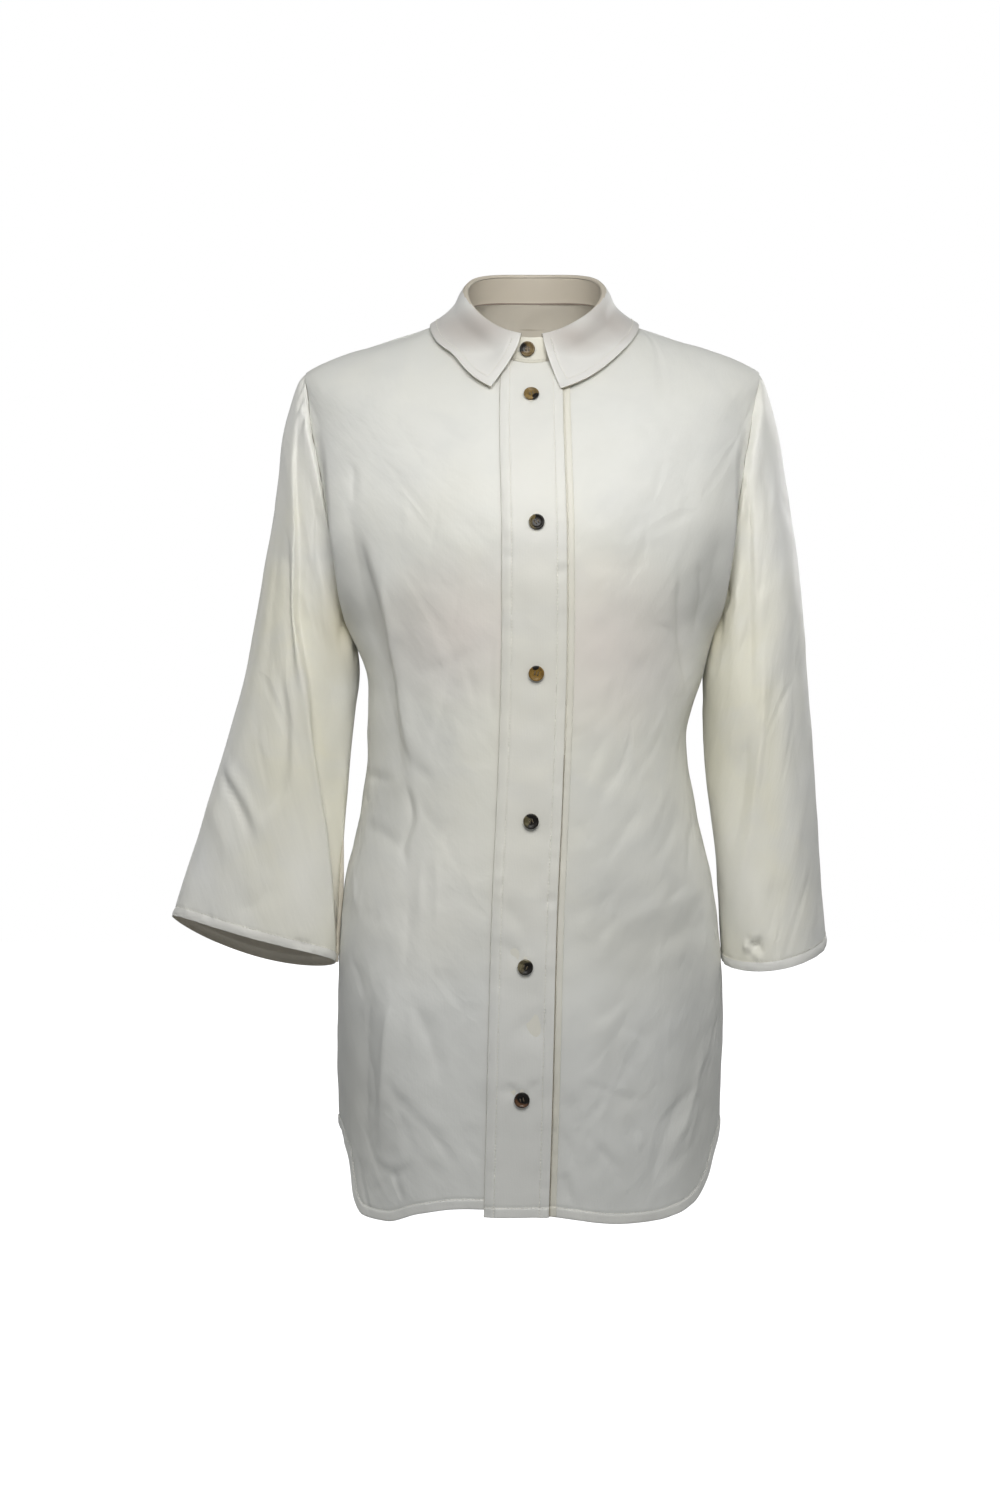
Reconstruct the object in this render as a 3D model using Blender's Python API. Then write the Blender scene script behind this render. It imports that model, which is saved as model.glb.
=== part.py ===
"""A button-up tunic shirt with bell sleeves, filled out as if worn, with nobody in it.

Metres, +Z up, the front faces -Y and +X is the wearer's left. The origin is midway between
the two points where the shoulder seams meet the neckline, which is where a wearer carries it.

The body is a stack of sections. Each section runs from the centre line to the shirt's edge,
which is the side seam, then the armhole, then the shoulder seam, and the last section is the
neckline. A section is named by its level: the height at which it crosses the centre front.
"""

import math
from collections import namedtuple

import bmesh
import bpy
import numpy as np
from mathutils import Matrix, Vector

# ---------------------------------------------------------------- driving sizes

WALL = 0.0012            # a cloth panel
BAND_WALL = 0.0014       # a band, stand or collar, which is cloth doubled over an interlining
SEAM = 0.0003            # room between two pieces

UNDERARM_LEVEL = -0.262
TIP_LEVEL = -0.110       # the section that ends at the shoulder tip
NECK_LEVEL = -0.048      # the neckline

BAND_HALF = 0.026        # half the width of the buttonhole band
BAND_LAP = 0.0057        # how far a band covers the front that it is sewn to
UNDER_BAND_EDGE = 0.032  # the outer edge of the button band, from the centre front

STAND_FRONT = 0.0195
STAND_BACK = 0.0215
STAND_LEAN = 0.0045
STAND_OVERLAP = 0.012    # each end of the stand past the centre front
CURVED_SEAM = 0.0009     # room under the stand and under the collar, whose seams curve
COLLAR_START = 0.0085    # each leaf's top corner, from the centre front

BUTTON_RADIUS = 0.00625
BUTTON_THICK = 0.0028

# The trunk. front and back are the depths at the centre lines, and back_z is where the same
# section crosses the centre back. side and side_z are its end: the side seam, then a line
# inside the armhole, then the shoulder seam. climb is how steeply it rises backwards there,
# and full is how far it keeps that direction, as a share of its depth. flat is how far the
# front keeps straight across from its centre line, as a share of side.
Section = namedtuple("Section", "level side side_z climb full front flat back back_z")
SECTIONS = (
    Section(-0.760, 0.1585, -0.760, 0.00, 0.58, -0.1160, 0.63, 0.1170, -0.760),
    Section(-0.664, 0.1602, -0.664, 0.00, 0.58, -0.1190, 0.63, 0.1210, -0.664),
    Section(-0.580, 0.1632, -0.580, 0.00, 0.58, -0.1220, 0.63, 0.1240, -0.580),
    Section(-0.482, 0.1563, -0.482, 0.00, 0.58, -0.1210, 0.63, 0.1160, -0.482),
    Section(-0.418, 0.1420, -0.418, 0.00, 0.58, -0.1180, 0.63, 0.1040, -0.418),
    Section(-0.354, 0.1345, -0.354, 0.00, 0.58, -0.1180, 0.63, 0.0960, -0.354),
    Section(-0.300, 0.1360, -0.300, 0.00, 0.58, -0.1215, 0.63, 0.0965, -0.300),
    Section(-0.280, 0.1400, -0.280, 0.00, 0.58, -0.1240, 0.63, 0.0985, -0.280),
    Section(-0.262, 0.1470, -0.262, 0.00, 0.58, -0.1260, 0.63, 0.1010, -0.262),
    Section(-0.240, 0.1625, -0.236, 0.00, 0.57, -0.1285, 0.63, 0.1045, -0.237),
    Section(-0.206, 0.1795, -0.193, 0.00, 0.54, -0.1300, 0.63, 0.1080, -0.200),
    Section(-0.163, 0.1925, -0.129, 0.00, 0.47, -0.1235, 0.63, 0.1090, -0.149),
    Section(-0.135, 0.1980, -0.085, 0.02, 0.41, -0.1130, 0.63, 0.1080, -0.113),
    Section(-0.120, 0.1975, -0.0585, 0.03, 0.37, -0.1058, 0.63, 0.1058, -0.091),
    Section(-0.110, 0.1925, -0.0465, 0.04, 0.35, -0.1008, 0.63, 0.1037, -0.076),
    Section(-0.103, 0.1805, -0.0395, 0.06, 0.35, -0.0970, 0.63, 0.1012, -0.065),
    Section(-0.095, 0.1640, -0.0325, 0.09, 0.36, -0.0922, 0.63, 0.0975, -0.052),
    Section(-0.078, 0.1250, -0.0205, 0.17, 0.42, -0.0810, 0.60, 0.0880, -0.026),
    Section(-0.060, 0.0860, -0.0080, 0.34, 0.50, -0.0690, 0.52, 0.0765, 0.005),
    Section(-0.048, 0.0620, 0.0000, 0.55, 0.58, -0.0620, 0.42, 0.0660, 0.024),
)

ARMHOLE_FRONT_DEPTH = 0.057   # how far in front of the side line the armhole is cut
ARMHOLE_BACK_DEPTH = 0.062
ARMHOLE_TAPER = 0.12          # how much narrower it is at the top

# How the hanging shirt sways off its own middle, at the sides and at the centre front.
Sway = namedtuple("Sway", "z side front")
SWAYS = (
    Sway(-0.760, -0.0010, -0.0130),
    Sway(-0.664, -0.0012, -0.0105),
    Sway(-0.580, 0.0000, -0.0085),
    Sway(-0.482, -0.0009, -0.0055),
    Sway(-0.418, -0.0016, -0.0025),
    Sway(-0.354, -0.0030, 0.0000),
    Sway(-0.300, 0.0040, 0.0015),
    Sway(-0.262, 0.0015, 0.0018),
    Sway(-0.206, 0.0010, 0.0018),
    Sway(-0.100, 0.0005, 0.0000),
    Sway(0.000, 0.0040, 0.0000),
    Sway(0.060, 0.0055, 0.0020),
)

# The shirt-tail hem: its level in each panel, by the share of the way to the side seam.
Hem = namedtuple("Hem", "share front_left front_right back")
HEMS = (
    Hem(0.00, -0.7370, -0.7350, -0.7510),
    Hem(0.20, -0.7440, -0.7355, -0.7510),
    Hem(0.36, -0.7488, -0.7410, -0.7512),
    Hem(0.50, -0.7497, -0.7498, -0.7508),
    Hem(0.60, -0.7478, -0.7485, -0.7480),
    Hem(0.68, -0.7428, -0.7370, -0.7400),
    Hem(0.74, -0.7355, -0.7060, -0.7260),
    Hem(0.80, -0.7230, -0.6930, -0.7090),
    Hem(0.86, -0.7040, -0.6885, -0.6960),
    Hem(0.92, -0.6905, -0.6855, -0.6880),
    Hem(1.00, -0.6835, -0.6835, -0.6835),
)

# A sleeve's rings below its armhole. outer and inner are the ring's ends away from and
# next to the trunk, depth is half its size front to back and y is its middle. lift raises
# its front above its back, and sag drops both below its ends.
Ring = namedtuple("Ring", "along outer_x outer_z inner_x inner_z depth y lift sag")
SLEEVE_LEFT = (
    Ring(0.03, 0.1985, -0.055, 0.1525, -0.267, 0.0590, 0.002, 0.000, 0.000),
    Ring(0.08, 0.2080, -0.088, 0.1510, -0.278, 0.0600, 0.002, 0.000, 0.000),
    Ring(0.18, 0.2170, -0.138, 0.1475, -0.298, 0.0610, 0.001, 0.000, 0.000),
    Ring(0.36, 0.2290, -0.222, 0.1460, -0.334, 0.0610, 0.000, -0.002, 0.000),
    Ring(0.57, 0.2370, -0.325, 0.1505, -0.395, 0.0600, 0.000, -0.004, 0.000),
    Ring(0.78, 0.2430, -0.427, 0.1580, -0.465, 0.0585, -0.001, -0.007, 0.000),
    Ring(1.00, 0.2505, -0.529, 0.1630, -0.545, 0.0570, -0.002, -0.010, 0.001),
)
SLEEVE_RIGHT = (
    Ring(0.03, 0.1965, -0.055, 0.1490, -0.268, 0.0590, 0.002, 0.000, 0.000),
    Ring(0.08, 0.2070, -0.088, 0.1465, -0.279, 0.0600, 0.002, 0.000, 0.000),
    Ring(0.18, 0.2140, -0.138, 0.1440, -0.298, 0.0600, 0.001, 0.001, 0.000),
    Ring(0.36, 0.2270, -0.222, 0.1480, -0.332, 0.0560, -0.001, 0.003, 0.001),
    Ring(0.57, 0.2470, -0.325, 0.1540, -0.395, 0.0460, -0.005, 0.005, 0.002),
    Ring(0.78, 0.2765, -0.425, 0.1585, -0.468, 0.0350, -0.009, 0.007, 0.004),
    Ring(1.00, 0.3020, -0.508, 0.1640, -0.546, 0.0270, -0.013, 0.010, 0.007),
)
SLEEVE_TUCK = 0.009      # how far the right sleeve's front is pushed in beside its long fold

Button = namedtuple("Button", "name height off_centre")
BUTTONS = (
    Button("button_1", -0.078, 0.000),
    Button("button_2", -0.186, 0.002),
    Button("button_3", -0.306, 0.002),
    Button("button_4", -0.424, 0.002),
    Button("button_5", -0.540, 0.002),
    Button("button_6", -0.646, 0.002),
)

# ---------------------------------------------------------------- smooth curves

FRONT, BACK = -1, 1
UP = np.array([0.0, 0.0, 1.0])
BACK_FLAT = 0.63         # how far the back keeps straight across, as a share of side


def smooth(x, y, at):
    """The smooth curve through y at x, read at every value in `at`. y may hold numbers or points."""
    x, y, at = np.asarray(x, float), np.asarray(y, float), np.asarray(at, float)
    spread = (slice(None),) + (None,) * (y.ndim - 1)
    step = np.diff(x)
    rise = np.diff(y, axis=0) / step[spread]
    before, after = step[:-1][spread], step[1:][spread]
    slope = np.empty_like(y)
    slope[1:-1] = (rise[:-1] * after + rise[1:] * before) / (before + after)
    least = 3 * np.minimum(np.abs(rise[:-1]), np.abs(rise[1:]))
    turning = rise[:-1] * rise[1:] <= 0
    slope[1:-1] = np.where(turning, 0, np.clip(slope[1:-1], -least, least))
    slope[0], slope[-1] = rise[0], rise[-1]
    low = np.clip(np.searchsorted(x, at, side="right") - 1, 0, len(step) - 1)
    t = ((at - x[low]) / step[low]).reshape(at.shape + (1,) * (y.ndim - 1))
    gap = step[low].reshape(t.shape)
    return (
        y[low] * (1 + 2 * t) * (1 - t) ** 2
        + slope[low] * gap * t * (1 - t) ** 2
        + y[low + 1] * t * t * (3 - 2 * t)
        + slope[low + 1] * gap * t * t * (t - 1)
    )


def column(table, name, at):
    """One named column of a table, read smoothly along the table's first column."""
    return smooth([row[0] for row in table], [getattr(row, name) for row in table], at)


def ease(t):
    t = np.clip(t, 0.0, 1.0)
    return t * t * (3 - 2 * t)


def unit(vectors):
    return vectors / np.linalg.norm(vectors, axis=-1, keepdims=True)


# ---------------------------------------------------------------- the trunk's form

def handles(level, face):
    """The four control points of each section, from its centre line to its end."""
    depth = column(SECTIONS, "front" if face == FRONT else "back", level)
    height = level if face == FRONT else column(SECTIONS, "back_z", level)
    side, side_z = column(SECTIONS, "side", level), column(SECTIONS, "side_z", level)
    climb = column(SECTIONS, "climb", level)
    full = column(SECTIONS, "full", level)
    none = np.zeros_like(level)
    centre = np.stack([none, depth, height], axis=-1)
    end = np.stack([side, none, side_z], axis=-1)
    flat = column(SECTIONS, "flat", level) if face == FRONT else BACK_FLAT
    out = np.stack([flat * side, none, none], axis=-1)
    back = (full * depth)[:, None] * np.stack([none, none + 1, climb], axis=-1)
    return centre, centre + out, end + back, end


def bezier(points, t):
    a, b, c, d = (p[:, None, :] for p in points)
    t = t[..., None]
    s = 1 - t
    return a * s**3 + 3 * b * s * s * t + 3 * c * s * t * t + d * t**3


def sway(points):
    """The whole shirt's slight sideways sway."""
    z, y = points[..., 2], points[..., 1]
    at_front = ease((-y - 0.02) / 0.07)
    side, front = column(SWAYS, "side", z), column(SWAYS, "front", z)
    moved = points.copy()
    moved[..., 0] += side + (front - side) * at_front
    return moved


def section(level, reach, face, share=False):
    """Points on the trunk. reach is the way from the centre line along the section, in metres,
    or as a share of the whole way to the seam. Below zero it lies on the wearer's right."""
    level, reach = np.broadcast_arrays(np.asarray(level, float), np.asarray(reach, float))
    shape = level.shape
    level, reach = level.ravel(), reach.ravel()
    points = handles(level, face)
    t = np.linspace(0, 1, 41)
    line = bezier(points, np.broadcast_to(t, (len(level), len(t))))
    run = np.concatenate(
        [np.zeros((len(level), 1)), np.cumsum(np.linalg.norm(np.diff(line, axis=1), axis=2), 1)], 1
    )
    want = np.abs(reach) * (run[:, -1] if share else 1.0)
    at = np.array([np.interp(w, r, t) for w, r in zip(want, run)])
    found = bezier(points, at[:, None])[:, 0]
    found[:, 0] *= np.where(reach < 0, -1, 1)
    return sway(found).reshape(shape + (3,))


def half_length(level, face):
    """How far it is from the centre line to the end of the section."""
    level = np.atleast_1d(np.asarray(level, float))
    line = bezier(handles(level, face), np.broadcast_to(np.linspace(0, 1, 41), (len(level), 41)))
    return np.linalg.norm(np.diff(line, axis=1), axis=2).sum(1)


def edge_share(level, face):
    """The share of each section that is cloth: all of it, but for what the armhole cuts off."""
    level = np.asarray(level, float)
    along = np.clip((level.ravel() - UNDERARM_LEVEL) / (TIP_LEVEL - UNDERARM_LEVEL), 0, 1)
    widest = ARMHOLE_FRONT_DEPTH if face == FRONT else ARMHOLE_BACK_DEPTH
    depth = widest * 2 * np.sqrt(along * (1 - along)) * (1 - ARMHOLE_TAPER * along)
    t = np.broadcast_to(np.linspace(0, 1, 81), (level.size, 81))
    line = bezier(handles(level.ravel(), face), t)
    run = np.cumsum(np.linalg.norm(np.diff(line, axis=1), axis=2), axis=1)
    share = np.concatenate([np.zeros((level.size, 1)), run / run[:, -1:]], axis=1)
    found = [np.interp(-d, -np.abs(p[:, 1]), s) for d, p, s in zip(depth, line, share)]
    return np.where(depth > 0, found, 1.0).reshape(level.shape)


def outward(level, share, face):
    """The unit normals of the trunk, pointing out of the shirt."""
    level, share = np.broadcast_arrays(np.asarray(level, float), np.asarray(share, float))
    small = 0.002
    low, high = np.maximum(share - small, -1), np.minimum(share + small, 1)
    across = section(level, high, face, True) - section(level, low, face, True)
    below, above = np.maximum(level - small, -0.76), np.minimum(level + small, NECK_LEVEL)
    upward = section(above, share, face, True) - section(below, share, face, True)
    return unit(-face * np.cross(across, upward))


# ---------------------------------------------------------------- making the meshes

def material(name, colour, roughness):
    """A plain finish for one sub-part."""
    made = bpy.data.materials.new(name)
    made.use_nodes = True
    shader = made.node_tree.nodes["Principled BSDF"]
    shader.inputs["Base Color"].default_value = (*colour, 1.0)
    shader.inputs["Roughness"].default_value = roughness
    return made


def new_object(name, bm, finish):
    mesh = bpy.data.meshes.new(name)
    bm.to_mesh(mesh)
    bm.free()
    mesh.materials.append(finish)
    mesh.shade_smooth()
    mesh.set_sharp_from_angle(angle=math.radians(40))
    made = bpy.data.objects.new(name, mesh)
    bpy.context.collection.objects.link(made)
    return made


def shell(name, outer, inner, finish, ring=False):
    """A piece of cloth: a grid whose points are `outer`, walled through to `inner`.
    With ring, its last column is its first again, and the wall closes round."""
    rows, columns = outer.shape[:2]
    bm = bmesh.new()
    bmesh.ops.create_grid(bm, x_segments=columns - 1, y_segments=rows - 1, size=0.5)
    place = bm.verts.layers.int.new("place")
    for vert in bm.verts:
        across = round((vert.co.x + 0.5) * (columns - 1))
        up = round((vert.co.y + 0.5) * (rows - 1))
        vert[place] = up * columns + across
        vert.co = outer[up, across]
    if ring:
        bmesh.ops.remove_doubles(bm, verts=bm.verts[:], dist=1e-6)
    walled = bmesh.ops.extrude_face_region(bm, geom=bm.faces[:])
    for vert in walled["geom"]:
        if isinstance(vert, bmesh.types.BMVert):
            vert.co = inner[divmod(vert[place], columns)]
    bmesh.ops.recalc_face_normals(bm, faces=bm.faces[:])
    bmesh.ops.triangulate(bm, faces=bm.faces[:])
    return new_object(name, bm, finish)


def grid_normals(points, ring):
    """Normals of a grid of points, from the steps along its rows and columns."""
    if ring:
        wide = np.concatenate([points[:, -2:-1], points, points[:, 1:2]], axis=1)
        across = wide[:, 2:] - wide[:, :-2]
    else:
        across = np.gradient(points, axis=1)
    return unit(np.cross(across, np.gradient(points, axis=0)))


# ---------------------------------------------------------------- rows and columns

SKIRT_ROWS = 11
ARMHOLE_ROWS = 9
SHOULDER_ROWS = 4


def armhole_levels():
    """Levels that stand evenly round the armhole, from the underarm to the shoulder tip."""
    along = (1 - np.cos(np.linspace(0, math.pi, ARMHOLE_ROWS + 1))) / 2
    return UNDERARM_LEVEL + (TIP_LEVEL - UNDERARM_LEVEL) * along


def row_levels(share, hem):
    """The level of every row, from the hem to the neckline, in each of the given columns.
    hem names a column of HEMS."""
    low = column(HEMS, hem, np.abs(share))
    up = np.linspace(0, 1, SKIRT_ROWS + 1)[:, None]
    skirt = low + (UNDERARM_LEVEL - low) * up
    top = np.linspace(TIP_LEVEL, NECK_LEVEL, SHOULDER_ROWS + 1)[1:]
    rest = np.concatenate([armhole_levels()[1:], top])[:, None] + 0 * share
    return np.concatenate([skirt, rest])


def share_of(level, reach, face):
    return reach / half_length(level.ravel(), face).reshape(level.shape)


# ---------------------------------------------------------------- the sleeves' form

def armhole_loop(side):
    """Points round the armhole with the trunk's normals there, from the underarm round the
    front to the shoulder tip and down the back. side is 1 on +X and -1 on -X."""
    level = armhole_levels()
    halves = []
    for face in (FRONT, BACK):
        share = side * edge_share(level, face)
        halves.append((section(level, share, face, True), outward(level, share, face)))
    return [np.concatenate([front, back[-2::-1]]) for front, back in zip(*halves)]


def sleeve_rings(table, side, turns):
    """Points round each ring of the table. turns is 180 degrees at the underarm, then the
    front, 0 at the top, and round the back to -180."""
    rings = []
    for ring in table:
        outer = np.array([ring.outer_x * side, ring.y, ring.outer_z])
        inner = np.array([ring.inner_x * side, ring.y, ring.inner_z])
        front = np.array([0, -ring.depth, ring.lift])
        round_it = np.cos(turns)[:, None] * (outer - inner) / 2 + np.sin(turns)[:, None] * front
        sag = ring.sag * np.sin(turns)[:, None] ** 2
        rings.append((outer + inner) / 2 + round_it - sag * UP)
    return np.stack(rings)


def sleeve_form(table, side, along):
    """The sleeve's outer surface, a row for each value of along, and its armhole's points."""
    loop, normals = armhole_loop(side)
    turns = np.linspace(math.pi, -math.pi, len(loop))
    rings = sleeve_rings(table, side, turns)
    run = unit(rings[0] - loop)
    around = unit(np.roll(loop[:-1], -1, axis=0) - np.roll(loop[:-1], 1, axis=0))
    around = np.concatenate([around, around[:1]])
    facing = unit(np.cross(run, around)) * side
    heading = unit(np.cross(around, normals)) * side
    folded = (1 - np.sum(facing * normals, axis=1, keepdims=True)) / 2
    start = loop + SEAM * unit(heading * (1 - folded) + normals * folded)
    knots = np.concatenate([[0.0], [ring.along for ring in table]])
    surface = smooth(knots, np.concatenate([start[None], rings]), along)
    surface[:, -1] = surface[:, 0]
    return surface, facing, normals


def mitre(facing, normals):
    """The way into the wall at an armhole seam: shared where cloth passes over the seam, and
    each piece's own where it folds back on itself."""
    both = facing + normals
    size = np.linalg.norm(both, axis=1, keepdims=True)
    shared = both / np.maximum(size, 0.8) / np.maximum(size / 2, 0.6)
    return np.where(size > 0.8, shared, facing), np.where(size > 0.8, shared, normals)


# ---------------------------------------------------------------- the pieces

def make_panel(name, face, share, level, edge_walls, finish):
    """A front or the back: share and level give each point's place on the trunk."""
    outer = section(level, share, face, True)
    into = outward(level, share, face)
    for column_index, side in edge_walls:
        rows = slice(SKIRT_ROWS, SKIRT_ROWS + ARMHOLE_ROWS + 1)
        into[rows, column_index] = side
    return shell(name, outer, outer - WALL * into, finish)


def armhole_walls(table, side):
    """The shared wall directions at one armhole, for its sleeve, its front and the back."""
    _, facing, normals = sleeve_form(table, side, np.array([0.0, 1.0]))
    for_sleeve, for_panel = mitre(facing, normals)
    return for_sleeve, for_panel[: ARMHOLE_ROWS + 1], for_panel[::-1][: ARMHOLE_ROWS + 1]


def make_front(name, side, first, second, columns, wall, finish):
    """One front, from its band to its side seam. first and second are its first two columns'
    distances from the centre front."""
    spread = 1 - (1 - np.linspace(0, 1, columns)) ** 1.35
    reach = np.concatenate([[first], second + spread * (0.232 - second)])
    level = row_levels(reach / 0.232, name)
    length = half_length(level.ravel(), FRONT).reshape(level.shape)
    width = edge_share(level, FRONT) * length - SEAM / 2
    inner = np.concatenate([[0.0], spread])
    share = (second + inner * (width - second)) / length
    share[:, 0] = first / length[:, 0]
    return make_panel(name, FRONT, side * share, level, [(-1, wall)], finish)


def make_back(columns, walls, finish):
    run = np.linspace(-1, 1, columns)
    spread = np.sign(run) * (1 - (1 - np.abs(run)) ** 1.25)
    level = row_levels(spread, "back")
    length = half_length(level.ravel(), BACK).reshape(level.shape)
    share = spread * (edge_share(level, BACK) - SEAM / 2 / length)
    return make_panel("back", BACK, share, level, [(0, walls[0]), (-1, walls[1])], finish)


def make_sleeve(name, table, side, wall, tucked, finish):
    along = np.linspace(0, 1, 16) ** 1.35
    outer, facing, _ = sleeve_form(table, side, along)
    if tucked:
        outer = tuck(outer, along)
    into = grid_normals(outer, True) * -side
    into[0] = wall
    return shell(name, outer, outer - WALL * into, finish, ring=True)


def tuck(points, along):
    """The long fold of the sleeve: its outer plane ends in a line from the shoulder to the
    cuff's inner corner, and past the line the cloth is pushed back."""
    turns = np.linspace(180, -180, points.shape[1])
    line = smooth((0.0, 0.08, 0.18, 0.36, 0.57, 0.78, 1.0), (18, 44, 60, 77, 112, 143, 172), along)
    past = (turns[None] - line[:, None]) / (180 - line[:, None])
    depth = SLEEVE_TUCK * ease(past / 0.2) * ease((1 - past) / 0.6) * ease(along / 0.2)[:, None]
    pushed = points.copy()
    pushed[..., 1] += depth
    return pushed


def band_form(reaches):
    """Points and normals of the front under a band, in columns at these reaches."""
    level = row_levels(np.array([BAND_HALF / 0.232]), "front_left")
    level[-1] -= 0.0025
    level = np.repeat(level, len(reaches), axis=1)
    share = share_of(level, np.array(reaches) + 0 * level, FRONT)
    return section(level, share, FRONT, True), outward(level, share, FRONT)


def make_band(name, reaches, under, finish):
    """A front band. under is how far its underside stands off the front in each column."""
    points, normals = band_form(reaches)
    inner = points + np.array(under)[:, None] * normals
    return shell(name, inner + BAND_WALL * normals, inner, finish)


# ---------------------------------------------------------------- stand and collar

NECK_FRONT = half_length(NECK_LEVEL, FRONT)[0]
NECK_BACK = half_length(NECK_LEVEL, BACK)[0]
NECK_HALF = NECK_FRONT + NECK_BACK
NECK_BUTTON_WAY = 1 - 0.0035 / NECK_HALF   # the neck button's place, round the wearer's right

# The leaf's outer edge lies on the trunk. way is its place round the neck, from 0 at the
# centre back to 1 at the leaf's end. share and level say where on the trunk that is.
Leaf = namedtuple("Leaf", "way level clear")
LEAF = (
    Leaf(0.00, -0.0650, 0.0040),
    Leaf(0.30, -0.0635, 0.0040),
    Leaf(0.50, -0.0610, 0.0035),
    Leaf(0.75, -0.0655, 0.0045),
    Leaf(0.90, -0.0720, 0.0058),
    Leaf(1.00, -0.0772, 0.0068),
)
TIP_REACH = {1: 0.0240, -1: 0.0330}    # each point of the collar, from the centre front


def neck_frame(way):
    """Points on the neckline with their outward directions. way is 0 at the centre back and
    1 at the centre front round the +X side, or -1 round the other, and may pass either."""
    side = np.where(way < 0, -1, 1)
    run = np.abs(way) * NECK_HALF
    at_back = section(NECK_LEVEL + 0 * way, side * np.minimum(run, NECK_BACK), BACK)
    at_front = section(NECK_LEVEL + 0 * way, side * (NECK_HALF - run), FRONT)
    points = np.where((run <= NECK_BACK)[:, None], at_back, at_front)
    along = np.gradient(points, axis=0)
    return points, unit(np.stack([-along[:, 1], along[:, 0], 0 * way], axis=-1))


def stand_form(way):
    """The bottom and top of the stand's outer face, and the outward directions."""
    points, out = neck_frame(way)
    over = (BAND_WALL + SEAM) * ease((-way - 0.86) / 0.07)[:, None]
    at_front = ease(np.abs(way))[:, None]
    rise = STAND_BACK + (STAND_FRONT - STAND_BACK) * at_front
    lean = STAND_LEAN * (1 - np.clip(np.abs(way), 0, 1)[:, None] ** 4)
    bottom = points + CURVED_SEAM * UP + over * out
    return bottom, bottom + rise * UP - lean * out, out


def make_stand(columns, finish):
    end = 1 + STAND_OVERLAP / NECK_HALF
    bottom, top, out = stand_form(np.linspace(-end, end, columns))
    outer = np.stack([bottom, (bottom + top) / 2, top])
    return shell("collar_stand", outer, outer - BAND_WALL * out, finish)


def leaf_edge(way, end):
    """The collar's outer edge, lying on the trunk."""
    side = np.where(way < 0, -1, 1)
    part = np.abs(way) / end
    seam = NECK_BACK / NECK_HALF / end
    level, clear = column(LEAF, "level", part), column(LEAF, "clear", part)
    tip = np.where(way < 0, TIP_REACH[-1], TIP_REACH[1]) / half_length(level, FRONT)
    at_back = np.clip(part / seam, 0, 1)
    at_front = 1 - (1 - tip) * np.clip((part - seam) / (1 - seam), 0, 1)
    face = [(at_back, BACK), (at_front, FRONT)]
    found = [
        section(level, side * s, f, True) + clear[:, None] * outward(level, side * s, f)
        for s, f in face
    ]
    return np.where((part < seam)[:, None], *found)


def make_collar(columns, finish):
    end = 1 - COLLAR_START / NECK_HALF
    way = np.linspace(-end, end, columns)
    _, top, out = stand_form(way)
    edge = leaf_edge(way, end)
    wall = BAND_WALL
    crest = [(-1.0, 0.0), (-0.9, 1.2), (0.7, 2.0)]
    foot = top + CURVED_SEAM * UP
    rows = [foot + wall * (across * out + up * UP) for across, up in crest]
    start = foot + wall * (2.4 * out + 0.8 * UP)
    fall = edge - start
    length = np.linalg.norm(fall, axis=1, keepdims=True)
    first = start + 0.33 * length * unit(0.62 * out - 0.78 * UP)
    last = edge - 0.33 * length * unit(unit(fall) * 0.7 + out * 0.45)
    leaf = bezier((start, first, last, edge), np.broadcast_to(np.linspace(0, 1, 5), (columns, 5)))
    outer = np.concatenate([np.stack(rows), leaf.transpose(1, 0, 2)])
    into = grid_normals(outer, False)
    into[0] = out * -1
    inner = outer - wall * into
    inner[0] = foot
    return shell("collar", outer, inner, finish)


# ---------------------------------------------------------------- buttons

def button_mesh(finish):
    """A four-hole button on the origin, its face along +Z: turned, then drilled."""
    radius, thick = BUTTON_RADIUS, BUTTON_THICK
    profile = ((0, 0), (0.86, 0), (1, 0.35), (1, 0.8), (0.92, 1), (0.8, 1), (0.68, 0.66), (0, 0.6))
    bm = bmesh.new()
    verts = [bm.verts.new((x * radius, 0, z * thick)) for x, z in profile]
    edges = [bm.edges.new(pair) for pair in zip(verts, verts[1:])]
    bmesh.ops.spin(
        bm, geom=verts + edges, cent=(0, 0, 0), axis=(0, 0, 1), angle=math.tau, steps=24,
        use_merge=True,
    )
    bmesh.ops.remove_doubles(bm, verts=bm.verts[:], dist=1e-6)
    bmesh.ops.recalc_face_normals(bm, faces=bm.faces[:])
    blank = new_object("button_blank", bm, finish)

    drill = bmesh.new()
    for quarter in range(4):
        turned = Matrix.Rotation(math.radians(45 + 90 * quarter), 4, "Z")
        place = turned @ Matrix.Translation((0.0019, 0, thick / 2))
        bmesh.ops.create_cone(
            drill, cap_ends=True, segments=8, radius1=0.0007, radius2=0.0007,
            depth=3 * thick, matrix=place,
        )
    cutter = new_object("button_drill", drill, finish)
    cut = blank.modifiers.new("holes", "BOOLEAN")
    cut.operation, cut.object = "DIFFERENCE", cutter
    graph = bpy.context.evaluated_depsgraph_get()
    mesh = bpy.data.meshes.new_from_object(blank.evaluated_get(graph))
    for helper in (blank, cutter):
        bpy.data.objects.remove(helper)
    return mesh


def place_button(name, mesh, point, normal):
    made = bpy.data.objects.new(name, mesh)
    made.location = point
    made.rotation_euler = Vector(normal).to_track_quat("Z", "Y").to_euler()
    bpy.context.collection.objects.link(made)


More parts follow.
